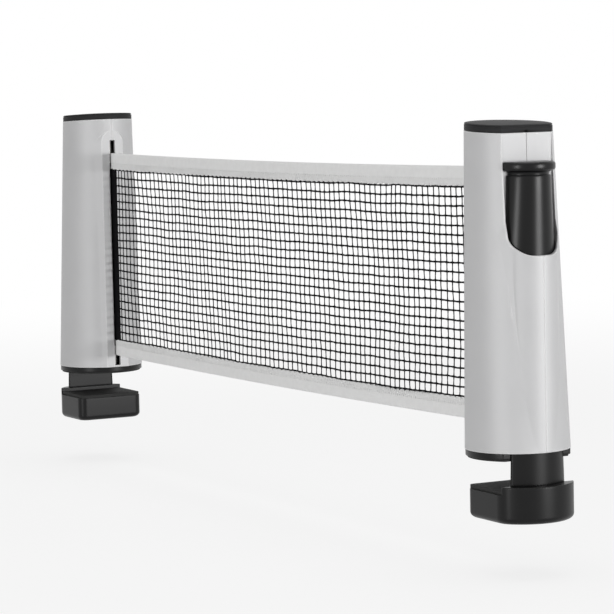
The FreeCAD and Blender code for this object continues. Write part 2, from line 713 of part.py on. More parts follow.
def lip_profile(body, name):
    """Half profile of the lip on the left of its turning axis: neck, bevelled rim."""
    neck = "(nose_x - front_x - neck_inset)"
    edge = "(lip_radius - lip_bevel)"
    foot = "(grip_top_z - 2)"
    sketch = outline(body, name, "XZ_Plane", "0", (
        ("0", foot),
        ("-" + neck, foot),
        ("-" + neck, "lip_low - lip_bevel"),
        ("-" + edge, "lip_low"),
        ("-lip_radius", "lip_low + lip_bevel"),
        ("-lip_radius", "lip_high - lip_bevel"),
        ("-" + edge, "lip_high"),
        ("0", "lip_high"),
    ))
    bind(sketch, "AttachmentOffset.Base.x", "nose_x")
    return sketch


def jaw_screw_places():
    return (("(tenon_front_x + tenon_back_x) / 2", "0"),)


def jaw(label):
    """Round-fronted jaw: a stop at the table edge and an arm under the table."""
    body = start_body(label)
    centre = axis_of_arc("jaw_front_x", "jaw_shoulder_x", "jaw_half")
    inner = "(jaw_inner_x - jaw_corner)"
    side = "(jaw_half - jaw_corner)"
    plan = outline(body, label + "_plan", "XY_Plane", "jaw_low", (
        ("jaw_shoulder_x", "jaw_half", (centre, "0", "(%s - jaw_front_x)" % centre, 1)),
        ("jaw_shoulder_x", "-jaw_half"),
        (inner, "-jaw_half", (inner, "-" + side, "jaw_corner", 1)),
        ("jaw_inner_x", "-" + side),
        ("jaw_inner_x", side, (inner, side, "jaw_corner", 1)),
        (inner, "jaw_half"),
    ))
    feature(body, "Pad", plan, "jaw_high - jaw_low")
    feature(body, "Pocket", rectangle(body, label + "_seat", "XY_Plane", "jaw_high",
                                      "stop_x", "-jaw_half - 1", "jaw_inner_x + 1",
                                      "jaw_half + 1"), "jaw_high - arm_high")
    low = number("jaw_low")
    bevelled(body, "jaw_bevel", lambda edge: max(v.Z for v in edge.Vertexes) < low + 0.01)
    feature(body, "Pocket", rectangle(body, label + "_mortise", "XY_Plane", "jaw_high",
                                      "tenon_front_x", "-tenon_half", "tenon_back_x",
                                      "tenon_half"), "jaw_high - tenon_low")
    feature(body, "Pocket", discs(body, label + "_holes", "tenon_low + 1", "pilot_radius",
                                  jaw_screw_places()), "tenon_low + 1 - jaw_low")
    feature(body, "Pocket", discs(body, label + "_sinks", "jaw_low + jaw_sink", "head_radius",
                                  jaw_screw_places()), "jaw_sink")
    return body


def jaw_pad(label):
    """Rubber pad that meets the underside of the table."""
    body = start_body(label)
    inner = "(jaw_inner_x - jaw_corner)"
    side = "(jaw_half - jaw_pad_inset - jaw_corner)"
    plan = outline(body, label + "_plan", "XY_Plane", "arm_high", (
        ("stop_x + jaw_pad_gap", "%s + jaw_corner" % side),
        ("stop_x + jaw_pad_gap", "-(%s + jaw_corner)" % side),
        (inner, "-(%s + jaw_corner)" % side, (inner, "-" + side, "jaw_corner", 1)),
        ("jaw_inner_x", "-" + side),
        ("jaw_inner_x", side, (inner, side, "jaw_corner", 1)),
        (inner, "%s + jaw_corner" % side),
    ))
    feature(body, "Pad", plan, "-table_gauge - arm_high")
    return body


def clamp_post(prefix, place):
    """All pieces of one post, in the post's own frame, then moved to its place. The near post
    holds the drum."""
    has_drum = place.isIdentity()
    pieces = [housing_shell("%s_%s_shell" % (prefix, name), side) for name, side in SIDES]
    pieces.append(top_cap(prefix + "_top_cap", has_drum))
    pieces.append(base_plate(prefix + "_base_plate", has_drum))
    pieces.append(foot_pad(prefix + "_foot_pad"))
    pieces.append(screw_group(prefix + "_base_screws", screw_places(), "pad_gauge",
                              "pad_gauge + head_gauge", "head_radius", "screw_tip"))
    pieces.append(grip_column(prefix + "_grip_column"))
    pieces.append(jaw(prefix + "_jaw"))
    pieces.append(jaw_pad(prefix + "_jaw_pad"))
    pieces.append(screw_group(prefix + "_jaw_screw", jaw_screw_places(),
                              "jaw_low + jaw_head_lift", "jaw_low + jaw_sink", "head_radius",
                              "grip_low_z + 1"))
    pieces.append(tube(prefix + "_clamp_spring", "spring_radius", "spring_bore",
                       "shelf_high", "well_high", "spring_x"))
    rod = cylinder(prefix + "_spring_rod_pin", "rod_radius", "shelf_low", "rod_high", "spring_x")
    rod.Label = prefix + "_spring_rod"
    pieces.append(rod)
    doc.recompute()
    for piece in pieces:
        move(piece, place)
    return pieces


def move(piece, place):
    """Put a finished piece in its place; a primitive keeps the place bound to the sheet."""
    if place.isIdentity():
        return
    for path, _ in list(piece.ExpressionEngine):
        if "Placement" in path:
            piece.setExpression(path.lstrip("."), None)
    piece.Placement = place.multiply(piece.Placement)


def drum():
    """Spring-loaded drum that winds up the net inside the near post."""
    shaft = cylinder("shaft", "shaft_radius", "shaft_low", "cap_z", "drum_x")
    shaft.Label = "drum_shaft"
    pieces = [shaft]
    pieces.append(tube("drum_tube", "tube_radius", "tube_bore", "tube_low", "tube_high", "drum_x"))
    bore = "(shaft_radius + plug_gap)"
    pieces.append(tube("drum_lower_plug", "tube_bore", bore, "tube_low",
                       "tube_low + plug_gauge", "drum_x"))
    pieces.append(tube("drum_upper_plug", "tube_bore", bore, "tube_high - plug_gauge",
                       "tube_high", "drum_x"))
    pieces.append(tube("drum_return_spring", "wind_radius", "shaft_radius",
                       "tube_low + plug_gauge + 4", "tube_high - plug_gauge - 4", "drum_x"))
    pieces.append(tube("net_roll", "roll_radius", "tube_radius", "net_near_low",
                       "net_near_high", "drum_x"))
    return pieces


# Net between the posts

def net_far_x():
    return number("post_spacing - base_radius + wall_gauge")


def net_line(near, far, x):
    """Level at x of a line that runs straight from the near to the far end of the net."""
    start = number("net_near_x")
    share = (x - start) / (net_far_x() - start)
    return number(near) + (number(far) - number(near)) * share


def spot(x, z):
    return FreeCAD.Vector(x, 0, z)


def slab(label, wires, half):
    """Flat piece in the plane of the net, with holes where wires after the first say."""
    face = Part.Face(wires)
    face.translate(FreeCAD.Vector(0, -half, 0))
    item = doc.addObject("Part::Feature", label + "_sheet")
    item.Shape = face.extrude(FreeCAD.Vector(0, 2 * half, 0))
    item.Label = label
    return item


def band(near_low, near_high, far_low, far_high, start, end):
    corners = [spot(start, net_line(near_low, far_low, start)),
               spot(end, net_line(near_low, far_low, end)),
               spot(end, net_line(near_high, far_high, end)),
               spot(start, net_line(near_high, far_high, start))]
    return Part.makePolygon(corners + corners[:1])


def mesh_sheet(label, start, end):
    """Coarse stand-in for the knitted mesh: one holed face."""
    near = ("net_near_low + tape_width", "net_near_high - tape_width")
    far = ("net_far_low + tape_width", "net_far_high - tape_width")
    wires = [band(near[0], near[1], far[0], far[1], start, end)]
    columns = int(number("mesh_columns"))
    rows = int(number("mesh_rows"))
    thread = number("mesh_thread")
    pitch = (end - start) / columns

    def level(x, row):
        low = net_line(near[0], far[0], x)
        high = net_line(near[1], far[1], x)
        return low + (high - low) * row / rows

    for column in range(columns):
        left = start + column * pitch + thread / 2
        right = start + (column + 1) * pitch - thread / 2
        for row in range(rows):
            corners = [spot(left, level(left, row) + thread / 2),
                       spot(left, level(left, row + 1) - thread / 2),
                       spot(right, level(right, row + 1) - thread / 2),
                       spot(right, level(right, row) + thread / 2)]
            wires.append(Part.makePolygon(corners + corners[:1]))
    return slab(label, wires, number("mesh_half"))


def end_strip(label, start, rod_x):
    """Black strip at the far end, wrapped round the anchor rod inside the far post."""
    half = number("strip_half")
    low = net_line("net_near_low", "net_far_low", start) + number("tape_width")
    high = net_line("net_near_high", "net_far_high", rod_x) - number("tape_width")
    radius = number("anchor_radius")
    outer = radius + number("loop_gauge")
    plate = Part.makeBox(rod_x - radius - start, 2 * half, high - low,
                         FreeCAD.Vector(start, -half, low))
    foot = FreeCAD.Vector(rod_x, 0, low)
    ring = Part.makeCylinder(outer, high - low, foot)
    hole = Part.makeCylinder(radius, high - low, foot)
    item = doc.addObject("Part::Feature", label + "_wrapped")
    item.Shape = plate.fuse(ring).cut(hole).removeSplitter()
    item.Label = label
    return item


def net_lead(label):
    """Net between the near slot and the drum, running off the roll at a tangent."""
    radius = number("roll_radius + mesh_half + 0.3")
    reach = number("net_near_x - drum_x")
    angle = math.acos(radius / reach)
    touch = FreeCAD.Vector(number("drum_x") + radius * math.cos(angle), radius * math.sin(angle), 0)
    start = FreeCAD.Vector(number("net_near_x"), 0, 0)
    along = (start - touch).normalize()
    across = FreeCAD.Vector(-along.y, along.x, 0) * number("mesh_half")
    beyond = start + along * radius
    corners = [beyond + across, beyond - across, touch - across, touch + across]
    face = Part.Face(Part.makePolygon(corners + corners[:1]))
    face.translate(FreeCAD.Vector(0, 0, number("net_near_low")))
    run = face.extrude(FreeCAD.Vector(0, 0, number("net_near_high - net_near_low")))
    outside = Part.makeBox(4 * radius, 4 * radius, number("post_height"),
                           FreeCAD.Vector(start.x, -2 * radius, 0))
    item = doc.addObject("Part::Feature", label + "_run")
    item.Shape = run.cut(outside)
    item.Label = label
    return item


def net():
    start = number("net_near_x")
    wall = number("post_spacing - base_radius")
    end = net_far_x() + 0.4
    strip_start = wall - number("strip_width")
    rod_x = number("post_spacing - anchor_x")
    rod = cylinder("anchor", "anchor_radius", "foot_z - anchor_seat", "cap_z",
                   "post_spacing - anchor_x")
    rod.Label = "net_anchor_rod"
    tape = number("tape_half")
    return [
        slab("net_top_tape", [band("net_near_high - tape_width", "net_near_high",
                                   "net_far_high - tape_width", "net_far_high", start, end)], tape),
        slab("net_bottom_tape", [band("net_near_low", "net_near_low + tape_width",
                                      "net_far_low", "net_far_low + tape_width", start, end)], tape),
        mesh_sheet("net_mesh", start, strip_start),
        end_strip("net_end_strip", strip_start, rod_x),
        net_lead("net_lead"),
        rod,
    ]


def check_and_export(pieces):
    doc.recompute()
    for item in doc.Objects:
        if "Invalid" in item.State or "Error" in item.State:
            raise RuntimeError("%s failed: %s" % (item.Label, item.State))
    os.makedirs("parts", exist_ok=True)
    for piece in pieces:
        shape = piece.Shape
        if shape.isNull() or not shape.isValid():
            raise RuntimeError(piece.Label + " has no valid shape")
        shape.exportStep("parts/%s.step" % piece.Label)
        print("%-24s %2d solids %9.1f mm3" % (piece.Label, len(shape.Solids), shape.Volume))


check_and_export(clamp_post("near", NEAR) + clamp_post("far", placed_far()) + drum() + net())
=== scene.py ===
import json
import math
import random

import bpy
from mathutils import Matrix, Vector, noise


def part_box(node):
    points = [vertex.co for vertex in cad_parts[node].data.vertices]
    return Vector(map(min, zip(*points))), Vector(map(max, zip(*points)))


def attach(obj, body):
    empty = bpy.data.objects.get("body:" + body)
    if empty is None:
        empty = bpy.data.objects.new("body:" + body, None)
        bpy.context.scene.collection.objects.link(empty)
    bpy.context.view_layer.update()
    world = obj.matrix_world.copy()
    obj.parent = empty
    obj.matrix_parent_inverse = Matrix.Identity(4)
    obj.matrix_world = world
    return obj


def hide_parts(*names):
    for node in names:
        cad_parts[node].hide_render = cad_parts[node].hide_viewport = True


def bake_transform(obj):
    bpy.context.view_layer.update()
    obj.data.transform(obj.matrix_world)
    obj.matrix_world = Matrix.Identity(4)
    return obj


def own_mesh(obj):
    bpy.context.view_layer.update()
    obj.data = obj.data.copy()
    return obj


# Looks of the retractable table tennis net: two silver posts with black spring clamps and a
# knitted net between white tapes. Everything is in metres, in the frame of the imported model.

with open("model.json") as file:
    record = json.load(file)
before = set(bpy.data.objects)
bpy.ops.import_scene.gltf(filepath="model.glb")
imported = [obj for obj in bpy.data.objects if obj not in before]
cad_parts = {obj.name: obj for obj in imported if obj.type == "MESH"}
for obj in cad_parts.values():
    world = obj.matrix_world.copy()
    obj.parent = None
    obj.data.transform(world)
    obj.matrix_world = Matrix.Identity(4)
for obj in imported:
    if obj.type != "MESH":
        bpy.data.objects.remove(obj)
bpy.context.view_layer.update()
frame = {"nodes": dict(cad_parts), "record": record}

MM = 0.001
NEAR, FAR = "near", "far"
POSTS = (NEAR, FAR)


def mount_place(name):
    """Place of one of the record's mounts."""
    for mount in frame["record"]["mounts"]:
        if mount["name"] == name:
            return Vector(mount["pos_m"])
    raise KeyError(name)


POST_SPACING = mount_place("far_table_face").x
POST_PLACE = {
    NEAR: Matrix.Identity(4),
    FAR: Matrix.Translation((POST_SPACING, 0, 0)) @ Matrix.Rotation(math.pi, 4, "Z"),
}
# The floor leaves room for the jaws when the clamps are open.
CLAMP_OPENING = 29.5 * MM
FLOOR_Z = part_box("near_jaw")[0].z - CLAMP_OPENING

# Grip column and thumb lip of one post
FRONT_X = -25.5 * MM
BACK_X = -13.4 * MM
TONGUE_BACK_X = -19.0 * MM
TONGUE_TOP = 36.0 * MM
COLUMN_LOW = -13.2 * MM
COLUMN_TOP = 149.0 * MM
SHOULDER_Z = 149.8 * MM
SHOULDER_ROUND = 0.6 * MM
NECK_INSET = 0.8 * MM
COLUMN_LOW_HALF = 17.5 * MM
COLUMN_TOP_HALF = 13.0 * MM
COLUMN_LOW_RADIUS = 25.0 * MM
COLUMN_TOP_RADIUS = 13.0 * MM
LIP_AXIS_X = -12.65 * MM
LIP_RADIUS = 15.35 * MM
LIP_LOW = 152.0 * MM
LIP_TOP = 156.8 * MM
LIP_ROUND = 1.6 * MM
LIP_COVE = 1.2 * MM
WELL_LOW = 39.5 * MM
WELL_TOP = 140.0 * MM
WELL_HALF = 10.8 * MM
WELL_FRONT_X = -23.3 * MM
WELL_SHOULDER = 0.6 * MM

# Jaw
JAW_HALF = 23.0 * MM
JAW_FRONT_X = -31.65 * MM
JAW_SHOULDER_X = -19.2 * MM
JAW_INNER_X = 15.6 * MM
JAW_CORNER = 5.0 * MM
JAW_CHEEK = 12.0 * MM
JAW_LOW = -33.0 * MM
JAW_TOP = -13.2 * MM
JAW_STOP_X = -18.9 * MM
JAW_SEAT = -17.5 * MM
JAW_ROUND = 3.2 * MM

# Top cap, which slopes up towards the net
DRUM_X = 7.6 * MM
CAP_Z = 172.9 * MM
CAP_CENTRE_X = 4.75 * MM
CAP_RADIUS = 23.45 * MM
CAP_FLAT_X = -12.95 * MM
CAP_CORNER = 0.7 * MM
CAP_HEIGHT = 4.1 * MM
CAP_CROWN = 0.6 * MM
TOP_SLOPE = 2.1 / 41.3
NOTCH_HALF = 1.2 * MM
NOTCH_HEIGHT = 1.4 * MM

# Parting line on the outward flat: where it starts, its full and its fading half width
SEAM_FROM_X = 12.0 * MM
SEAM_CORE = 0.12 * MM
SEAM_HALF = 0.32 * MM

# Radius of the clamp spring's wire
SPRING_WIRE = 0.5 * MM

# Net
SLOT_X = 26.9 * MM
HOUSING_RADIUS = 28.35 * MM
NET_TOP_NEAR = 153.4 * MM
NET_TOP_FAR = 150.7 * MM
NET_LOW_NEAR = 15.2 * MM
NET_LOW_FAR = 12.2 * MM
NET_SAG = 1.6 * MM
TAPE_WIDTH = 11.0 * MM
TAPE_HALF = 0.9 * MM
TAPE_STEP = 1.4 * MM
STITCH_PITCH = 1.15 * MM
STITCH_RADIUS = 0.17 * MM
STRIP_WIDTH = 5.4 * MM
STRIP_HALF = 0.62 * MM
STRIP_EDGE_HALF = 0.35 * MM
THREAD_ROWS = 23
ROW_CLEARANCE = 0.5 * MM
THREAD_PULL = 8.0 * MM
FREE_SHARE = 1 / 12
THREAD_PITCH = 5.95 * MM
ROW_THREAD = 0.50 * MM
COLUMN_THREAD = 0.30 * MM
LEAD_HALF = 0.35 * MM
LEAD_CLEARANCE = 0.8 * MM


# Mesh building

def new_piece(name, vertices, faces):
    """Smooth-shaded object from its points and faces."""
    data = bpy.data.meshes.new(name)
    data.from_pydata([tuple(vertex) for vertex in vertices], [], faces)
    data.validate()
    data.update()
    piece = bpy.data.objects.new(name, data)
    bpy.context.collection.objects.link(piece)
    data.polygons.foreach_set("use_smooth", [True] * len(data.polygons))
    return piece


def lofted(name, rings):
    """Closed solid through rings of equally many points, capped at both ends."""
    count = len(rings[0])
    vertices = [point for ring in rings for point in ring]
    faces = []
    for level in range(len(rings) - 1):
        low = level * count
        for index in range(count):
            after = (index + 1) % count
            faces.append((low + index, low + after, low + count + after, low + count + index))
    faces.append(tuple(reversed(range(count))))
    last = (len(rings) - 1) * count
    faces.append(tuple(range(last, last + count)))
    return new_piece(name, vertices, faces)


def apply_modifiers(piece):
    """The piece's mesh becomes what its modifiers show."""
    graph = bpy.context.evaluated_depsgraph_get()
    shown = piece.evaluated_get(graph)
    data = bpy.data.meshes.new_from_object(shown)
    piece.modifiers.clear()
    piece.data = data


def cut_away(piece, plan, low, high):
    """Takes an upright prism out of the piece: its plan runs anticlockwise seen from above."""
    cutter = lofted("cutter", [[(x, y, level) for x, y in plan] for level in (low, high)])
    boolean = piece.modifiers.new("cut", "BOOLEAN")
    boolean.operation = "DIFFERENCE"
    boolean.solver = "EXACT"
    boolean.object = cutter
    bpy.context.view_layer.update()
    apply_modifiers(piece)
    bpy.data.objects.remove(cutter)


def box_plan(low_x, high_x, half):
    """Plan of a box that lies evenly about y = 0."""
    return ((low_x, -half), (high_x, -half), (high_x, half), (low_x, half))


def soften(piece, width, segments, angle):
    """Rounds the sharp edges and keeps the flat faces flat in shading."""
    bevel = piece.modifiers.new("rounded edges", "BEVEL")
    bevel.width = width
    bevel.segments = segments
    bevel.limit_method = "ANGLE"
    bevel.angle_limit = math.radians(angle)
    bevel.harden_normals = False
    bevel.use_clamp_overlap = True
    normals = piece.modifiers.new("flat faces", "WEIGHTED_NORMAL")
    normals.keep_sharp = False
    bpy.context.view_layer.update()
    apply_modifiers(piece)
    piece.data.polygons.foreach_set("use_smooth", [True] * len(piece.data.polygons))


def moved(piece, side):
    """Puts a piece made for the near post on the given post."""
    piece.data.transform(POST_PLACE[side])
    piece.data.update()


def axis_of_arc(front, shoulder, half):
    """Axis on y = 0 of the arc through the front and both shoulders."""
    return (front ** 2 - shoulder ** 2 - half ** 2) / (2 * (front - shoulder))


def arc(centre_x, centre_y, radius, start, end, steps):
    """Points on a circle from one angle to another, in degrees."""
    points = []
    for index in range(steps + 1):
        angle = math.radians(start + (end - start) * index / steps)
        points.append((centre_x + radius * math.cos(angle), centre_y + radius * math.sin(angle)))
    return points


# Grip column

def column_outline(level, steps=48):
    """Half-round plan of the grip column at a level, seen as distances from its back."""
    share = (COLUMN_TOP - level) / (COLUMN_TOP - COLUMN_LOW)
    half = COLUMN_TOP_HALF + (COLUMN_LOW_HALF - COLUMN_TOP_HALF) * share
    radius = COLUMN_TOP_RADIUS + (COLUMN_LOW_RADIUS - COLUMN_TOP_RADIUS) * share
    back = TONGUE_BACK_X if level < TONGUE_TOP else BACK_X
    centre = FRONT_X + radius
    points = []
    for index in range(steps + 1):
        angle = math.pi * (0.5 - index / steps)
        across = math.sin(angle)
        forward = -math.cos(angle)
        reach = half / abs(across) if abs(across) > 1e-6 else 1.0
        offset = back - centre
        along = forward * offset
        room = along ** 2 - offset ** 2 + radius ** 2
        reach = min(reach, -along + math.sqrt(room)) if room > 0 else reach
        points.append((back + forward * reach, across * reach, level))
    return points


def lip_outline(level, radius, steps=48):
    """Plan of the thumb lip: a circle cut off at the column's back."""
    limit = math.acos((LIP_AXIS_X - BACK_X) / radius)
    points = []
    for index in range(steps + 1):
        angle = math.pi - limit + 2 * limit * index / steps
        points.append((LIP_AXIS_X + radius * math.cos(angle), radius * math.sin(angle), level))
    return points


def lip_rings():
    """Rings of the lip from the neck up: a cove, a rounded rim and a flat top."""
    neck = LIP_AXIS_X - FRONT_X - NECK_INSET
    rim = LIP_RADIUS - LIP_ROUND
    levels = [(SHOULDER_Z, neck), (LIP_LOW - LIP_COVE, neck)]
    cove = rim - neck
    for step in range(1, 6):
        angle = math.radians(90 * step / 5)
        levels.append((LIP_LOW - LIP_COVE + LIP_COVE * math.sin(angle),
                       neck + cove * (1 - math.cos(angle))))
    for step in range(1, 7):
        angle = math.radians(-90 + 90 * step / 6)
        levels.append((LIP_LOW + LIP_ROUND + LIP_ROUND * math.sin(angle),
                       rim + LIP_ROUND * math.cos(angle)))
    for step in range(0, 7):
        angle = math.radians(90 * step / 6)
        levels.append((LIP_TOP - LIP_ROUND + LIP_ROUND * math.sin(angle),
                       rim + LIP_ROUND * math.cos(angle)))
    return [lip_outline(level, radius) for level, radius in levels]


def well_plan():
    """Plan of the hollow in the column's back: a round front and straight sides."""
    shoulder = BACK_X - WELL_SHOULDER
    centre = axis_of_arc(WELL_FRONT_X, shoulder, WELL_HALF)
    radius = centre - WELL_FRONT_X
    swing = math.degrees(math.asin(WELL_HALF / radius))
    behind = BACK_X + 10 * MM
    front = arc(centre, 0, radius, 180 - swing, 180 + swing, 32)
    return front + [(behind, -WELL_HALF), (behind, WELL_HALF)]


def grip_column(side):
    """Tapered half-round column with its thumb lip, hollow at the back for the spring."""
    step_in = 0.01 * MM
    levels = [COLUMN_LOW, -5 * MM, 5 * MM, 15 * MM, 25 * MM, TONGUE_TOP - step_in,
              TONGUE_TOP + step_in]
    levels += [TONGUE_TOP + (SHOULDER_Z - TONGUE_TOP) * step / 12 for step in range(1, 12)]
    rings = [column_outline(level) for level in levels]
    rings.append(column_outline(SHOULDER_Z - SHOULDER_ROUND))
    last = column_outline(SHOULDER_Z)
    draw_in = 0.03
    rings.append([(x + (LIP_AXIS_X - x) * draw_in, y * (1 - draw_in), z) for x, y, z in last])
    rings += lip_rings()
    piece = lofted(side + "_thumb_grip", rings)
    cut_away(piece, well_plan(), WELL_LOW, WELL_TOP)
    soften(piece, width=0.35 * MM, segments=2, angle=40)
    moved(piece, side)
    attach(piece, side + "_clamp")
    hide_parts(side + "_grip_column")
    return piece


# Top cap

def cap_outline(inset, steps=96):
    """Plan of the cap: a circle with a flat side and slightly rounded corners."""
    radius = CAP_RADIUS - inset
    flat = CAP_FLAT_X + inset - CAP_CENTRE_X
    corner = CAP_CORNER
    inner = radius - corner
    lift = math.sqrt(inner ** 2 - (flat + corner) ** 2)
    turn = math.degrees(math.atan2(lift, flat + corner))
    edge = arc(0, 0, radius, -turn, turn, steps)
    upper = arc(flat + corner, lift, corner, turn, 180, 6)[1:]
    lower = arc(flat + corner, -lift, corner, 180, 360 - turn, 6)[:-1]
    return [(CAP_CENTRE_X + x, y) for x, y in edge + upper + lower]


def top_cap(side):
    """Sloping lid with a grooved rim, rounded upper edge and a faint crown.

    Each pair is a level and an inset in millimetres: the foot's levels run up from the lid's
    underside, the rim's run down from its upper edge."""
    foot = [(0, 0.3), (0.12, 0.05), (0.3, 0)]
    rim_profile = [(1.15, 0), (1.0, 0.12), (0.95, 0.55), (0.75, 0.65), (0.6, 0.55), (0.55, 0.2),
                   (0.45, 0.12), (0.25, 0.2), (0.1, 0.4), (0, 0.8)]
    levels = foot + [(CAP_HEIGHT / MM - drop, inset) for drop, inset in rim_profile]
    rings = [[(x, y, level * MM) for x, y in cap_outline(inset * MM)] for level, inset in levels]
    rim = rings[-1]
    for share in (0.85, 0.6, 0.3):
        rise = CAP_CROWN * (1 - share ** 2)
        rings.append([(CAP_CENTRE_X + (x - CAP_CENTRE_X) * share, y * share, z + rise)
                      for x, y, z in rim])
    sloped = [[(x, y, CAP_Z + z + (x - DRUM_X) * TOP_SLOPE) for x, y, z in ring] for ring in rings]
    piece = lofted(side + "_lid", sloped)
    low = CAP_Z - (DRUM_X - CAP_FLAT_X) * TOP_SLOPE
    cut_away(piece, box_plan(CAP_FLAT_X - MM, CAP_FLAT_X + NOTCH_HALF, NOTCH_HALF),
             low - MM, low + NOTCH_HEIGHT)
    moved(piece, side)
    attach(piece, side + "_post")
    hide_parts(side + "_top_cap")
    return piece


# Jaw

def jaw_outline():
    """Plan of the jaw: a round front that runs through rounded cheeks into straight sides."""
    centre = axis_of_arc(JAW_FRONT_X, JAW_SHOULDER_X, JAW_HALF)
    radius = centre - JAW_FRONT_X
    inner = JAW_INNER_X - JAW_CORNER
    side = JAW_HALF - JAW_CORNER
    cheek_y = JAW_HALF - JAW_CHEEK
    cheek_x = centre - math.sqrt((radius - JAW_CHEEK) ** 2 - cheek_y ** 2)
    turn = math.degrees(math.atan2(cheek_y, cheek_x - centre))
    upper = arc(cheek_x, cheek_y, JAW_CHEEK, 90, turn, 10)[:-1]
    front = arc(centre, 0, radius, turn, 360 - turn, 32)
    lower = arc(cheek_x, -cheek_y, JAW_CHEEK, 360 - turn, 270, 10)[1:]
    right = arc(inner, -side, JAW_CORNER, -90, 0, 8)
    left = arc(inner, side, JAW_CORNER, 0, 90, 8)
    return upper + front + lower + right + left


def jaw(side):
    """Jaw with its arm under the table and its stop at the table's edge."""
    outline = jaw_outline()
    middle = (JAW_FRONT_X + JAW_INNER_X) / 2
    half_length = (JAW_INNER_X - JAW_FRONT_X) / 2

    def ring(level, inset):
        """The outline drawn in by an even margin."""
        return [(middle + (x - middle) * (1 - inset / half_length), y * (1 - inset / JAW_HALF),
                 level) for x, y in outline]

    rings = []
    for step in range(7):
        angle = math.radians(90 * step / 6)
        rings.append(ring(JAW_LOW + JAW_ROUND * (1 - math.sin(angle)),
                          JAW_ROUND * (1 - math.cos(angle))))
    rings.reverse()
    rings.append(ring(JAW_TOP, 0))
    piece = lofted(side + "_jaw_body", rings)
    cut_away(piece, box_plan(JAW_STOP_X, 2 * JAW_INNER_X, 2 * JAW_HALF), JAW_SEAT, 0)
    soften(piece, width=0.6 * MM, segments=3, angle=35)
    moved(piece, side)
    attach(piece, side + "_clamp")
    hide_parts(side + "_jaw")
    return piece


# Net

def net_edge(near, far, x):
    """Level of a net edge at x, with its slight sag between the posts."""
    share = (x - SLOT_X) / (POST_SPACING - HOUSING_RADIUS - SLOT_X)
    return near + (far - near) * share - NET_SAG * 4 * max(0.0, share * (1 - share))


def net_top(x):
    return net_edge(NET_TOP_NEAR, NET_TOP_FAR, x)


def net_low(x):
    return net_edge(NET_LOW_NEAR, NET_LOW_FAR, x)


def wave(x, z, scale, seed):
    """Smooth random value between about -1 and 1."""
    return noise.noise(Vector((x / scale, z / scale, seed)))


class Threads:
    """Collects round threads in one mesh."""

    def __init__(self):
        self.vertices = []
        self.faces = []

    def add(self, points, radii, sides=6):
        """Thread along the points. It lies near the plane of the net, so Y is its side."""
        first = len(self.vertices)
        count = len(points)
        for index, point in enumerate(points):
            before = points[max(index - 1, 0)]
            after = points[min(index + 1, count - 1)]
            along = (after - before).normalized()
            outward = Vector((0, 1, 0))
            across = along.cross(outward).normalized()
            outward = across.cross(along)
            for side in range(sides):
                angle = 2 * math.pi * side / sides
                self.vertices.append(point + radii[index] * (across * math.cos(angle)
                                                             + outward * math.sin(angle)))
        for index in range(count - 1):
            low = first + index * sides
            for side in range(sides):
                after = (side + 1) % sides
                self.faces.append((low + side, low + after, low + sides + after,
                                   low + sides + side))
        self.faces.append(tuple(reversed(range(first, first + sides))))
        last = first + (count - 1) * sides
        self.faces.append(tuple(range(last, last + sides)))


def row_level(x, row):
    """Level of a row of knots; the first and the last lie inside the tapes."""
    low = net_low(x) + TAPE_WIDTH + ROW_CLEARANCE
    high = net_top(x) - TAPE_WIDTH - ROW_CLEARANCE
    if row == 0:
        return low - 2 * ROW_CLEARANCE
    if row == THREAD_ROWS + 1:
        return high + 2 * ROW_CLEARANCE
    return low + (high - low) * (row - 1) / (THREAD_ROWS - 1)


def mesh_knots(start, end):
    """Crossings of the knitted mesh, by column and row, pulled about as a soft net is."""
    spread = random.Random(7)
    columns = round((end - start) / THREAD_PITCH)
    knots = []
    for column in range(columns + 1):
        line = []
        jitter = spread.uniform(-0.55, 0.55) * MM
        from_end = min(column, columns - column) / columns
        held = min(1.0, from_end / FREE_SHARE)
        for row in range(THREAD_ROWS + 2):
            x = start + (end - start) * column / columns
            z = row_level(x, row)
            wide = 3.4 * MM * wave(x, z, 75 * MM, 1.5)
            fine = 0.9 * MM * wave(x, z, 16 * MM, 4.5)
            rise = row / (THREAD_ROWS + 1)
            pull = THREAD_PULL * rise ** 2 * column / columns
            x += held * (wide + fine + pull + jitter + spread.uniform(-0.25, 0.25) * MM)
            z += 0.55 * MM * wave(x, z, 30 * MM, 8.5) + spread.uniform(-0.14, 0.14) * MM
            y = 0.9 * MM * wave(x, z, 60 * MM, 2.5)
            line.append(Vector((x, y, z)))
        knots.append(line)
    return knots


def net_threads(start, end):
    """Knitted mesh: rows of thicker thread with knots, joined by thin columns."""
    knots = mesh_knots(start, end)
    spread = random.Random(11)
    threads = Threads()
    for row in range(1, THREAD_ROWS + 1):
        points = []
        radii = []
        for column, line in enumerate(knots):
            points.append(line[row])
            radii.append(ROW_THREAD * spread.uniform(1.1, 1.35))
            if column + 1 < len(knots):
                middle = (line[row] + knots[column + 1][row]) / 2
                middle.z += spread.uniform(-0.22, 0.12) * MM
                points.append(middle)
                radii.append(ROW_THREAD * spread.uniform(0.85, 1.0))
        threads.add(points, radii)
    for line in knots:
        points = []
        radii = []
        for row, knot in enumerate(line):
            points.append(knot)
            radii.append(COLUMN_THREAD * 1.3)
            if row + 1 < len(line):
                middle = (knot + line[row + 1]) / 2
                middle.x += spread.uniform(-0.2, 0.2) * MM
                points.append(middle)
                radii.append(COLUMN_THREAD * spread.uniform(0.85, 1.1))
        threads.add(points, radii, 5)
    return new_piece("net_threads", threads.vertices, threads.faces)


def tape_section():
    """Half section of the folded tape from its fold down: offset across and share of width."""
    return ((0.0, 1.0), (0.55, 0.985), (0.88, 0.955), (0.97, 0.90), (0.96, 0.60), (0.93, 0.46),
            (0.80, 0.405), (0.70, 0.37), (0.80, 0.335), (0.87, 0.28), (0.87, 0.12), (0.82, 0.04),
            (0.5, 0.0))


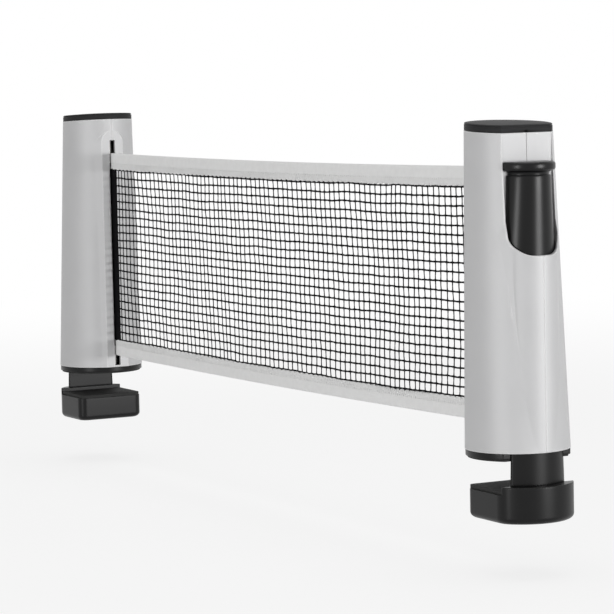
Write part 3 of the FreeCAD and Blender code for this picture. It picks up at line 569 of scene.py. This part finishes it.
def tape_ripple(x, sense):
    """How far a tape leaves the plane of the net at x."""
    return 0.22 * MM * wave(x, sense, 30 * MM, 3.5)


def edge_tape(name, level, sense, start, end):
    """White tape folded over one edge of the net; sense +1 folds at the top, -1 at the foot."""
    section = tape_section()
    loop = list(section) + [(-offset, share) for offset, share in reversed(section[1:])]
    count = round((end - start) / TAPE_STEP)
    rings = []
    for index in range(count + 1):
        x = start + (end - start) * index / count
        fold = level(x)
        ripple = tape_ripple(x, sense)
        swell = 1 + 0.10 * wave(x, sense, 12 * MM, 6.5)
        scallop = 0.35 * MM * (math.cos(2 * math.pi * x / THREAD_PITCH)
                               + 0.6 * wave(x, sense, 6 * MM, 9.5))
        ring = []
        for offset, share in loop:
            drop = (1 - share) * TAPE_WIDTH + scallop * (1 - share) ** 3
            ring.append((x, ripple + offset * TAPE_HALF * swell, fold - sense * drop))
        rings.append(ring)
    return lofted(name, rings)


def tape_stitches(name, level, sense, start, end):
    """Zigzag seam that holds the tape on the net, on both of its faces."""
    threads = Threads()
    spread = random.Random(23 + sense)
    count = round((end - start) / STITCH_PITCH)
    side = 0.84 * TAPE_HALF
    for face in (-1, 1):
        points = []
        for index in range(count + 1):
            x = start + (end - start) * index / count
            depth = 0.62 if index % 2 else 0.93
            drop = (depth + spread.uniform(-0.03, 0.03)) * TAPE_WIDTH
            points.append(Vector((x, tape_ripple(x, sense) + face * side,
                                  level(x) - sense * drop)))
        threads.add(points, [STITCH_RADIUS] * len(points), 4)
    return new_piece(name, threads.vertices, threads.faces)


def end_strip(start, end):
    """Black band sewn to the far end of the mesh, in a soft wave, with its seam."""
    low = net_low(start) + 0.6 * TAPE_WIDTH
    high = net_top(start) - 0.6 * TAPE_WIDTH
    rings = []
    count = 60
    steps = 12
    for index in range(count + 1):
        z = low + (high - low) * index / count
        edge = 0.25 * MM * wave(0, z, 8 * MM, 5.5)
        outline = []
        for step in range(steps + 1):
            share = step / steps
            hemmed = 0.06 < share < 0.94
            thick = STRIP_HALF if hemmed else STRIP_EDGE_HALF
            outline.append((start + edge * (1 - share) + (end - start) * share, thick))
        ring = [(x, thick, z) for x, thick in outline]
        ring += [(x, -thick, z) for x, thick in reversed(outline)]
        rings.append(ring)
    return lofted("net_end_band", rings)


def net_lead():
    """Net between the roll and the slot, hidden in the near post."""
    roll_low, roll_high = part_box("net_roll")
    drum_x = (roll_low.x + roll_high.x) / 2
    radius = (roll_high.x - roll_low.x) / 2 + LEAD_CLEARANCE
    touch = math.acos(radius / (SLOT_X - drum_x))
    wrap = math.radians(20)
    steps = 6
    angles = [touch + wrap * step / steps for step in range(steps, -1, -1)]
    line = [(drum_x + radius * math.cos(angle), radius * math.sin(angle)) for angle in angles]
    line.append((SLOT_X, 0.0))
    half = LEAD_HALF
    rings = []
    for x, y in line:
        rings.append([(x, y - half, NET_LOW_NEAR), (x, y - half, NET_TOP_NEAR),
                      (x, y + half, NET_TOP_NEAR), (x, y + half, NET_LOW_NEAR)])
    piece = lofted("net_lead_cloth", rings)
    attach(piece, "near_post")
    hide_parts("net_lead")
    return piece


# Springs

def clamp_spring(side):
    """Coil spring between the housing's shelf and the top of the column's well."""
    low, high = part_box(side + "_clamp_spring")
    middle = (low + high) / 2
    wire = SPRING_WIRE
    radius = (high.x - low.x) / 2 - wire
    turns = 18
    steps = 20
    points = []
    for index in range(turns * steps + 1):
        angle = 2 * math.pi * index / steps
        share = index / (turns * steps)
        z = low.z + wire + (high.z - low.z - 2 * wire) * share
        points.append(Vector((middle.x + radius * math.cos(angle),
                              middle.y + radius * math.sin(angle), z)))
    vertices = []
    faces = []
    sides = 6
    for index, point in enumerate(points):
        outward = Vector((point.x - middle.x, point.y - middle.y, 0)).normalized()
        for side_index in range(sides):
            angle = 2 * math.pi * side_index / sides
            vertices.append(point + wire * (outward * math.cos(angle)
                                            + Vector((0, 0, 1)) * math.sin(angle)))
    for index in range(len(points) - 1):
        first = index * sides
        for side_index in range(sides):
            after = (side_index + 1) % sides
            faces.append((first + side_index, first + after, first + sides + after,
                          first + sides + side_index))
    faces.append(tuple(reversed(range(sides))))
    last = (len(points) - 1) * sides
    faces.append(tuple(range(last, last + sides)))
    piece = new_piece(side + "_coil_spring", vertices, faces)
    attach(piece, side + "_post")
    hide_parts(side + "_clamp_spring")
    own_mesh(piece)
    return piece


# Shader groups

def node(tree, kind, place, **values):
    """Node at a place in the tree, with some of its settings."""
    made = tree.nodes.new(kind)
    made.location = place
    for name, value in values.items():
        setattr(made, name, value)
    return made


def group(name, inputs, outputs):
    """New shader group with its named sockets; returns the tree and its end nodes."""
    tree = bpy.data.node_groups.new(name, "ShaderNodeTree")
    for label, kind, default in inputs:
        socket = tree.interface.new_socket(label, in_out="INPUT", socket_type=kind)
        if default is not None:
            socket.default_value = default
    for label, kind in outputs:
        tree.interface.new_socket(label, in_out="OUTPUT", socket_type=kind)
    return tree, node(tree, "NodeGroupInput", (-900, 0)), node(tree, "NodeGroupOutput", (600, 0))


def moulded_group():
    """Fine texture of moulded plastic: height for a bump, and a slow change of gloss."""
    tree, entry, leave = group(
        "Moulded texture",
        (("Grain scale", "NodeSocketFloat", 2500.0), ("Patch scale", "NodeSocketFloat", 35.0),
         ("Gloss low", "NodeSocketFloat", 0.3), ("Gloss high", "NodeSocketFloat", 0.4)),
        (("Height", "NodeSocketFloat"), ("Roughness", "NodeSocketFloat"),
         ("Patch", "NodeSocketFloat")))
    place = node(tree, "ShaderNodeTexCoord", (-900, -250))
    grain = node(tree, "ShaderNodeTexNoise", (-600, 150))
    grain.inputs["Detail"].default_value = 2.0
    patch = node(tree, "ShaderNodeTexNoise", (-600, -150))
    patch.inputs["Detail"].default_value = 3.0
    spread = node(tree, "ShaderNodeMapRange", (-250, -150))
    tree.links.new(place.outputs["Object"], grain.inputs["Vector"])
    tree.links.new(place.outputs["Object"], patch.inputs["Vector"])
    tree.links.new(entry.outputs["Grain scale"], grain.inputs["Scale"])
    tree.links.new(entry.outputs["Patch scale"], patch.inputs["Scale"])
    tree.links.new(patch.outputs["Fac"], spread.inputs["Value"])
    tree.links.new(entry.outputs["Gloss low"], spread.inputs["To Min"])
    tree.links.new(entry.outputs["Gloss high"], spread.inputs["To Max"])
    tree.links.new(grain.outputs["Fac"], leave.inputs["Height"])
    tree.links.new(spread.outputs["Result"], leave.inputs["Roughness"])
    tree.links.new(patch.outputs["Fac"], leave.inputs["Patch"])
    return tree


def edge_rounding_and_highlight_mask_group():
    """Rounded normal for edges, and a mask of where edges turn by more than a little; the mask
    places the painted edge highlights.
    """
    tree, entry, leave = group(
        "Soft edges",
        (("Bend", "NodeSocketFloat", 0.5), ("Radius", "NodeSocketFloat", 0.0013)),
        (("Normal", "NodeSocketVector"), ("Edge", "NodeSocketFloat")))
    bend = node(tree, "ShaderNodeBevel", (-500, 100), samples=6)
    tree.links.new(entry.outputs["Radius"], bend.inputs["Radius"])
    shape = node(tree, "ShaderNodeNewGeometry", (-700, -150))
    facing = node(tree, "ShaderNodeVectorMath", (-250, 0), operation="DOT_PRODUCT")
    mask = node(tree, "ShaderNodeMapRange", (0, 0))
    mask.inputs["From Min"].default_value = 0.994
    lower = node(tree, "ShaderNodeMath", (-250, -200), operation="SUBTRACT")
    lower.inputs[0].default_value = 1.0
    tree.links.new(entry.outputs["Bend"], lower.inputs[1])
    tree.links.new(bend.outputs["Normal"], facing.inputs[0])
    tree.links.new(shape.outputs["Normal"], facing.inputs[1])
    tree.links.new(facing.outputs["Value"], mask.inputs["Value"])
    tree.links.new(lower.outputs["Value"], mask.inputs["From Max"])
    tree.links.new(bend.outputs["Normal"], leave.inputs["Normal"])
    tree.links.new(mask.outputs["Result"], leave.inputs["Edge"])
    return tree


def weave_group():
    """Plain weave in the plane of the net: height and shade of the yarns."""
    tree, entry, leave = group(
        "Plain weave",
        (("Yarns", "NodeSocketFloat", 1800.0),),
        (("Height", "NodeSocketFloat"), ("Shade", "NodeSocketFloat")))
    place = node(tree, "ShaderNodeTexCoord", (-900, -250))
    split = node(tree, "ShaderNodeSeparateXYZ", (-700, -250))
    tree.links.new(place.outputs["Object"], split.inputs["Vector"])
    waves = []
    for index, axis in enumerate("XZ"):
        turn = node(tree, "ShaderNodeMath", (-500, -120 * index), operation="MULTIPLY")
        sine = node(tree, "ShaderNodeMath", (-300, -120 * index), operation="SINE")
        tree.links.new(split.outputs[axis], turn.inputs[0])
        tree.links.new(entry.outputs["Yarns"], turn.inputs[1])
        tree.links.new(turn.outputs["Value"], sine.inputs[0])
        waves.append(sine)
    product = node(tree, "ShaderNodeMath", (-100, 0), operation="MULTIPLY")
    tree.links.new(waves[0].outputs["Value"], product.inputs[0])
    tree.links.new(waves[1].outputs["Value"], product.inputs[1])
    cloud = node(tree, "ShaderNodeTexNoise", (-300, -350))
    cloud.inputs["Scale"].default_value = 260.0
    cloud.inputs["Detail"].default_value = 3.0
    tree.links.new(place.outputs["Object"], cloud.inputs["Vector"])
    both = node(tree, "ShaderNodeMath", (100, -100), operation="MULTIPLY_ADD")
    both.inputs[1].default_value = 0.5
    tree.links.new(product.outputs["Value"], both.inputs[0])
    tree.links.new(cloud.outputs["Fac"], both.inputs[2])
    tree.links.new(both.outputs["Value"], leave.inputs["Height"])
    tree.links.new(cloud.outputs["Fac"], leave.inputs["Shade"])
    return tree


def streak_group():
    """Fine streaks along Z that drawing or plating leaves on steel."""
    tree, entry, leave = group(
        "Drawn streaks",
        (("Across", "NodeSocketFloat", 900.0), ("Along", "NodeSocketFloat", 60.0)),
        (("Streak", "NodeSocketFloat"),))
    place = node(tree, "ShaderNodeTexCoord", (-900, -250))
    scales = node(tree, "ShaderNodeCombineXYZ", (-700, 100))
    stretch = node(tree, "ShaderNodeVectorMath", (-400, 0), operation="MULTIPLY")
    streak = node(tree, "ShaderNodeTexNoise", (-100, 0))
    streak.inputs["Scale"].default_value = 1.0
    tree.links.new(entry.outputs["Across"], scales.inputs["X"])
    tree.links.new(entry.outputs["Across"], scales.inputs["Y"])
    tree.links.new(entry.outputs["Along"], scales.inputs["Z"])
    tree.links.new(place.outputs["Object"], stretch.inputs[0])
    tree.links.new(scales.outputs["Vector"], stretch.inputs[1])
    tree.links.new(stretch.outputs["Vector"], streak.inputs["Vector"])
    tree.links.new(streak.outputs["Fac"], leave.inputs["Streak"])
    return tree


GROUPS = {"moulded": moulded_group(), "edges": edge_rounding_and_highlight_mask_group(), "weave": weave_group(),
          "streaks": streak_group()}


def start_material(name):
    """New material with its tree and its Principled BSDF."""
    material = bpy.data.materials.new(name)
    material.use_nodes = True
    tree = material.node_tree
    shader = tree.nodes["Principled BSDF"]
    return material, tree, shader


def placed_group(tree, kind, place, **values):
    """One of the shared groups, with its own input values."""
    made = node(tree, "ShaderNodeGroup", place)
    made.node_tree = GROUPS[kind]
    for name, value in values.items():
        made.inputs[name.replace("_", " ")].default_value = value
    return made


def plastic(name, dark, light, gloss, grain, bump, painted_highlight_share=0.06, bend=0.5, specular=0.5,
            metallic=0.0):
    """Moulded plastic whose colour shifts between two tones, with a painted highlight: white mixed
    into its colour on edges.
    """
    material, tree, shader = start_material(name)
    texture = placed_group(tree, "moulded", (-700, 0), Grain_scale=grain, Gloss_low=gloss[0],
                           Gloss_high=gloss[1])
    edges = placed_group(tree, "edges", (-700, -350), Bend=bend)
    tone = node(tree, "ShaderNodeMix", (-350, 200), data_type="RGBA")
    tone.inputs["A"].default_value = (*dark, 1)
    tone.inputs["B"].default_value = (*light, 1)
    tree.links.new(texture.outputs["Patch"], tone.inputs["Factor"])
    share = node(tree, "ShaderNodeMath", (-450, -200), operation="MULTIPLY")
    share.inputs[1].default_value = painted_highlight_share
    tree.links.new(edges.outputs["Edge"], share.inputs[0])
    # Painted highlight: white is mixed into the colour along the edges that the bevel mask finds.
    painted_edge_highlight = node(tree, "ShaderNodeMix", (-150, 200), data_type="RGBA")
    painted_edge_highlight.inputs["B"].default_value = (1, 1, 1, 1)
    tree.links.new(tone.outputs["Result"], painted_edge_highlight.inputs["A"])
    tree.links.new(share.outputs["Value"], painted_edge_highlight.inputs["Factor"])
    relief = node(tree, "ShaderNodeBump", (-350, -300))
    relief.inputs["Strength"].default_value = 0.35
    relief.inputs["Distance"].default_value = bump
    tree.links.new(texture.outputs["Height"], relief.inputs["Height"])
    tree.links.new(edges.outputs["Normal"], relief.inputs["Normal"])
    tree.links.new(painted_edge_highlight.outputs["Result"], shader.inputs["Base Color"])
    tree.links.new(texture.outputs["Roughness"], shader.inputs["Roughness"])
    tree.links.new(relief.outputs["Normal"], shader.inputs["Normal"])
    shader.inputs["Specular IOR Level"].default_value = specular
    shader.inputs["Metallic"].default_value = metallic
    return material


def silver_plastic():
    """Silver lacquer with painted highlight lines on its edges; the parting line of the half
    shells shows on the flat over the lip.
    """
    # Painted highlight: a strong share of white on the edges draws light lines along the flat's
    # edges and round the grip recess.
    material = plastic("silver lacquer", (0.51, 0.51, 0.515), (0.57, 0.57, 0.575),
                       gloss=(0.52, 0.6), grain=3200.0, bump=0.04 * MM, painted_highlight_share=0.45,
                       bend=0.04, metallic=0.2)
    tree = material.node_tree
    shader = tree.nodes["Principled BSDF"]
    painted = shader.inputs["Base Color"].links[0].from_socket
    place = node(tree, "ShaderNodeTexCoord", (-700, 500))
    split = node(tree, "ShaderNodeSeparateXYZ", (-500, 500))
    width = node(tree, "ShaderNodeMath", (-300, 500), operation="ABSOLUTE")
    line = node(tree, "ShaderNodeMapRange", (-150, 500), interpolation_type="SMOOTHSTEP")
    line.inputs["From Min"].default_value = SEAM_CORE
    line.inputs["From Max"].default_value = SEAM_HALF
    line.inputs["To Min"].default_value = 0.5
    line.inputs["To Max"].default_value = 0.0
    outward = node(tree, "ShaderNodeMath", (-500, 700), operation="SUBTRACT")
    outward.inputs[1].default_value = POST_SPACING / 2
    depth = node(tree, "ShaderNodeMath", (-350, 700), operation="ABSOLUTE")
    beyond = node(tree, "ShaderNodeMath", (-200, 700), operation="GREATER_THAN")
    beyond.inputs[1].default_value = POST_SPACING / 2 + SEAM_FROM_X
    above = node(tree, "ShaderNodeMath", (-200, 850), operation="GREATER_THAN")
    above.inputs[1].default_value = LIP_TOP
    on_flat = node(tree, "ShaderNodeMath", (-50, 750), operation="MULTIPLY")
    shown = node(tree, "ShaderNodeMath", (0, 500), operation="MULTIPLY")
    tree.links.new(split.outputs["X"], outward.inputs[0])
    tree.links.new(outward.outputs["Value"], depth.inputs[0])
    tree.links.new(depth.outputs["Value"], beyond.inputs[0])
    tree.links.new(split.outputs["Z"], above.inputs[0])
    tree.links.new(beyond.outputs["Value"], on_flat.inputs[0])
    tree.links.new(above.outputs["Value"], on_flat.inputs[1])
    tree.links.new(line.outputs["Result"], shown.inputs[0])
    tree.links.new(on_flat.outputs["Value"], shown.inputs[1])
    seam = node(tree, "ShaderNodeMix", (150, 300), data_type="RGBA")
    seam.inputs["B"].default_value = (0.10, 0.10, 0.10, 1)
    tree.links.new(place.outputs["Object"], split.inputs["Vector"])
    tree.links.new(split.outputs["Y"], width.inputs[0])
    tree.links.new(width.outputs["Value"], line.inputs["Value"])
    tree.links.new(shown.outputs["Value"], seam.inputs["Factor"])
    tree.links.new(painted, seam.inputs["A"])
    tree.links.new(seam.outputs["Result"], shader.inputs["Base Color"])
    return material


def cloth(name, dark, light, yarns, bump, roughness, sheen=0.0):
    """Woven cloth or knitted thread, without gloss."""
    material, tree, shader = start_material(name)
    weave = placed_group(tree, "weave", (-700, 0), Yarns=yarns)
    tone = node(tree, "ShaderNodeMix", (-350, 200), data_type="RGBA")
    tone.inputs["A"].default_value = (*dark, 1)
    tone.inputs["B"].default_value = (*light, 1)
    tree.links.new(weave.outputs["Shade"], tone.inputs["Factor"])
    relief = node(tree, "ShaderNodeBump", (-350, -200))
    relief.inputs["Strength"].default_value = 0.6
    relief.inputs["Distance"].default_value = bump
    tree.links.new(weave.outputs["Height"], relief.inputs["Height"])
    tree.links.new(tone.outputs["Result"], shader.inputs["Base Color"])
    tree.links.new(relief.outputs["Normal"], shader.inputs["Normal"])
    shader.inputs["Roughness"].default_value = roughness
    shader.inputs["Specular IOR Level"].default_value = 0.05
    shader.inputs["Sheen Weight"].default_value = sheen
    return material


def steel(name, colour, roughness):
    """Zinc-plated or drawn steel with fine streaks."""
    material, tree, shader = start_material(name)
    streaks = placed_group(tree, "streaks", (-600, 0))
    spread = node(tree, "ShaderNodeMapRange", (-250, -100))
    spread.inputs["To Min"].default_value = roughness - 0.06
    spread.inputs["To Max"].default_value = roughness + 0.1
    tone = node(tree, "ShaderNodeMix", (-250, 150), data_type="RGBA")
    tone.inputs["A"].default_value = (*[0.8 * value for value in colour], 1)
    tone.inputs["B"].default_value = (*colour, 1)
    tree.links.new(streaks.outputs["Streak"], spread.inputs["Value"])
    tree.links.new(streaks.outputs["Streak"], tone.inputs["Factor"])
    tree.links.new(spread.outputs["Result"], shader.inputs["Roughness"])
    tree.links.new(tone.outputs["Result"], shader.inputs["Base Color"])
    shader.inputs["Metallic"].default_value = 1.0
    return material


MATERIALS = {
    "silver_plastic": silver_plastic(),
    "cap_plastic": plastic("charcoal cap", (0.022, 0.022, 0.023), (0.032, 0.032, 0.033),
                           gloss=(0.5, 0.58), grain=2600.0, bump=0.05 * MM, painted_highlight_share=0.03,
                           specular=0.08),
    "black_plastic": plastic("black plastic", (0.002, 0.002, 0.0021), (0.004, 0.004, 0.0042),
                             gloss=(0.29, 0.34), grain=2400.0, bump=0.03 * MM, painted_highlight_share=0.01,
                             specular=0.23),
    "white_plastic": plastic("white plastic", (0.72, 0.72, 0.70), (0.78, 0.78, 0.76),
                             gloss=(0.35, 0.42), grain=2000.0, bump=0.03 * MM),
    "pad_rubber": plastic("black rubber", (0.018, 0.018, 0.018), (0.026, 0.026, 0.025),
                          gloss=(0.7, 0.85), grain=1500.0, bump=0.12 * MM, painted_highlight_share=0.03,
                          specular=0.3),
    "zinc_steel": steel("zinc plated steel", (0.5, 0.5, 0.49), roughness=0.5),
    "spring_steel": steel("spring steel", (0.42, 0.42, 0.43), roughness=0.3),
    "net_cloth": cloth("black net thread", (0.004, 0.004, 0.0045), (0.009, 0.009, 0.010),
                       yarns=5200.0, bump=0.12 * MM, roughness=0.85),
    "white_tape": cloth("white cotton tape", (0.85, 0.85, 0.845), (0.95, 0.95, 0.945),
                        yarns=4200.0, bump=0.22 * MM, roughness=0.9, sheen=0.1),
}


def dress(piece, slot):
    """Gives a piece its slot's material."""
    piece.data.materials.clear()
    piece.data.materials.append(MATERIALS[slot])


def dress_cad_nodes():
    """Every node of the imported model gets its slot's procedural material."""
    slots = {part["node"]: part["material_slot"] for part in frame["record"]["subparts"]}
    for name, piece in frame["nodes"].items():
        for holder in piece.material_slots:
            holder.link = "OBJECT"
            holder.material = MATERIALS[slots[name]]


# Assembly

def build_net():
    """Mesh, end band and tapes, which stretch between the posts."""
    wall = POST_SPACING - HOUSING_RADIUS
    strip_start = wall - STRIP_WIDTH
    tape_end = wall + 2.0 * MM
    inside = SLOT_X - 4.0 * MM
    threads = net_threads(inside, strip_start + 2.0 * MM)
    band = end_strip(strip_start, wall + 5.0 * MM)
    parts = [(threads, "net_cloth", "net_mesh"), (band, "net_cloth", "net_end_strip")]
    for name, level, sense in (("top", net_top, 1), ("bottom", net_low, -1)):
        tape = edge_tape(name + "_edge_tape", level, sense, inside, tape_end)
        seam = tape_stitches(name + "_tape_stitches", level, sense, inside, tape_end)
        parts.append((tape, "white_tape", "net_%s_tape" % name))
        parts.append((seam, "white_tape", None))
    for piece, slot, cad_node in parts:
        dress(piece, slot)
        if cad_node:
            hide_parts(cad_node)
    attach(band, "far_post")
    for piece, _, _ in parts:
        if piece is not band:
            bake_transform(piece)


def build_posts():
    """Shaped pieces that stand in for the plain ones of both posts."""
    for side in POSTS:
        dress(grip_column(side), "black_plastic")
        dress(jaw(side), "black_plastic")
        dress(top_cap(side), "cap_plastic")
        dress(clamp_spring(side), "spring_steel")


# Stage, lights and camera

# The yaw turns anticlockwise from the near post towards the far one, and the pitch down from
# level, both in degrees. The roll is in radians.
CAMERA_PLACE = (-1.32975, 0.8299, 0.21535)
CAMERA_LENS = 173.48
CAMERA_YAW = -27.92
CAMERA_PITCH = 4.89
CAMERA_ROLL = -0.0213


def white_behind(tree, shader, plain, share=None):
    """Mixes plain white in for camera, glossy and transmission rays, by an optional share."""
    rays = node(tree, "ShaderNodeLightPath", (-600, 300))
    seen = node(tree, "ShaderNodeMath", (-400, 300), operation="MAXIMUM")
    both = node(tree, "ShaderNodeMath", (-250, 300), operation="MAXIMUM")
    amount = node(tree, "ShaderNodeMath", (-100, 300), operation="MULTIPLY")
    amount.inputs[1].default_value = 1.0
    if share:
        tree.links.new(share, amount.inputs[1])
    tree.links.new(rays.outputs["Is Camera Ray"], seen.inputs[0])
    tree.links.new(rays.outputs["Is Glossy Ray"], seen.inputs[1])
    tree.links.new(seen.outputs["Value"], both.inputs[0])
    tree.links.new(rays.outputs["Is Transmission Ray"], both.inputs[1])
    tree.links.new(both.outputs["Value"], amount.inputs[0])
    mix = node(tree, "ShaderNodeMixShader", (200, 100))
    tree.links.new(amount.outputs["Value"], mix.inputs["Fac"])
    tree.links.new(shader.outputs[0], mix.inputs[1])
    tree.links.new(plain.outputs[0], mix.inputs[2])
    return mix


def build_stage():
    """Pale floor and white surroundings."""
    bpy.ops.mesh.primitive_plane_add(size=40, location=(POST_SPACING / 2, 0, FLOOR_Z - 0.0001))
    floor = bpy.context.object
    floor.name = "studio_floor"
    material, tree, shader = start_material("pale floor")
    shader.inputs["Base Color"].default_value = (0.9, 0.9, 0.9, 1)
    shader.inputs["Roughness"].default_value = 0.9
    shader.inputs["Specular IOR Level"].default_value = 0.0
    glow = node(tree, "ShaderNodeEmission", (-100, -200))
    glow.inputs["Strength"].default_value = 1.0
    place = node(tree, "ShaderNodeTexCoord", (-900, 500))
    distance = node(tree, "ShaderNodeVectorMath", (-700, 500), operation="LENGTH")
    fade = node(tree, "ShaderNodeMapRange", (-500, 500), interpolation_type="SMOOTHSTEP")
    fade.inputs["From Min"].default_value = 0.4
    fade.inputs["From Max"].default_value = 1.6
    fade.inputs["To Min"].default_value = 0.8
    tree.links.new(place.outputs["Object"], distance.inputs[0])
    tree.links.new(distance.outputs["Value"], fade.inputs["Value"])
    mix = white_behind(tree, shader, glow, fade.outputs["Result"])
    tree.links.new(mix.outputs["Shader"], tree.nodes["Material Output"].inputs["Surface"])
    floor.data.materials.append(material)

    world = bpy.data.worlds.new("studio")
    world.use_nodes = True
    tree = world.node_tree
    soft = tree.nodes["Background"]
    soft.inputs["Color"].default_value = (1, 1, 1, 1)
    soft.inputs["Strength"].default_value = 0.35
    plain = node(tree, "ShaderNodeBackground", (0, -200))
    plain.inputs["Color"].default_value = (1, 1, 1, 1)
    plain.inputs["Strength"].default_value = 1.0
    mix = white_behind(tree, soft, plain)
    tree.links.new(mix.outputs["Shader"], tree.nodes["World Output"].inputs["Surface"])
    bpy.context.scene.world = world


def soft_box(name, place, aim, width, height, power):
    """Rectangular studio lamp that faces a point; its power is in watts."""
    lamp = bpy.data.lights.new(name, "AREA")
    lamp.shape = "RECTANGLE"
    lamp.size = width
    lamp.size_y = height
    lamp.energy = power
    holder = bpy.data.objects.new(name, lamp)
    holder.location = place
    holder.rotation_euler = (Vector(aim) - Vector(place)).to_track_quat("-Z", "Y").to_euler()
    bpy.context.collection.objects.link(holder)


def build_lights():
    """Two low lamps give the upright faces their bands, one overhead fills in."""
    middle = (POST_SPACING / 2, 0, 0.09)
    soft_box("right softbox", (-1.98, -0.95, 0.16), middle, 0.8, 0.36, 25)
    soft_box("left softbox", (-0.85, 2.2, 0.14), middle, 0.5, 0.32, 15)
    soft_box("overhead", (0.3, -0.2, 2.4), middle, 1.8, 1.8, 16)


def build_camera():
    """Camera of the photograph, fitted to the posts."""
    camera = bpy.data.cameras.new("photo camera")
    camera.sensor_width = 36.0
    camera.lens = CAMERA_LENS
    camera.clip_end = 50.0
    yaw = math.radians(CAMERA_YAW)
    pitch = math.radians(CAMERA_PITCH)
    roll = CAMERA_ROLL
    ahead = Vector((math.cos(pitch) * math.cos(yaw), math.cos(pitch) * math.sin(yaw),
                    -math.sin(pitch)))
    right = Vector((math.sin(yaw), -math.cos(yaw), 0))
    up = right.cross(ahead)
    level_right = right * math.cos(roll) + up * math.sin(roll)
    level_up = up * math.cos(roll) - right * math.sin(roll)
    turn = Matrix((level_right, level_up, -ahead)).transposed().to_4x4()
    holder = bpy.data.objects.new("photo camera", camera)
    holder.matrix_world = Matrix.Translation(CAMERA_PLACE) @ turn
    bpy.context.collection.objects.link(holder)
    bpy.context.scene.camera = holder


dress_cad_nodes()
build_posts()
build_net()
dress(net_lead(), "net_cloth")
build_stage()
build_lights()
build_camera()
bpy.context.scene.view_settings.view_transform = "Standard"
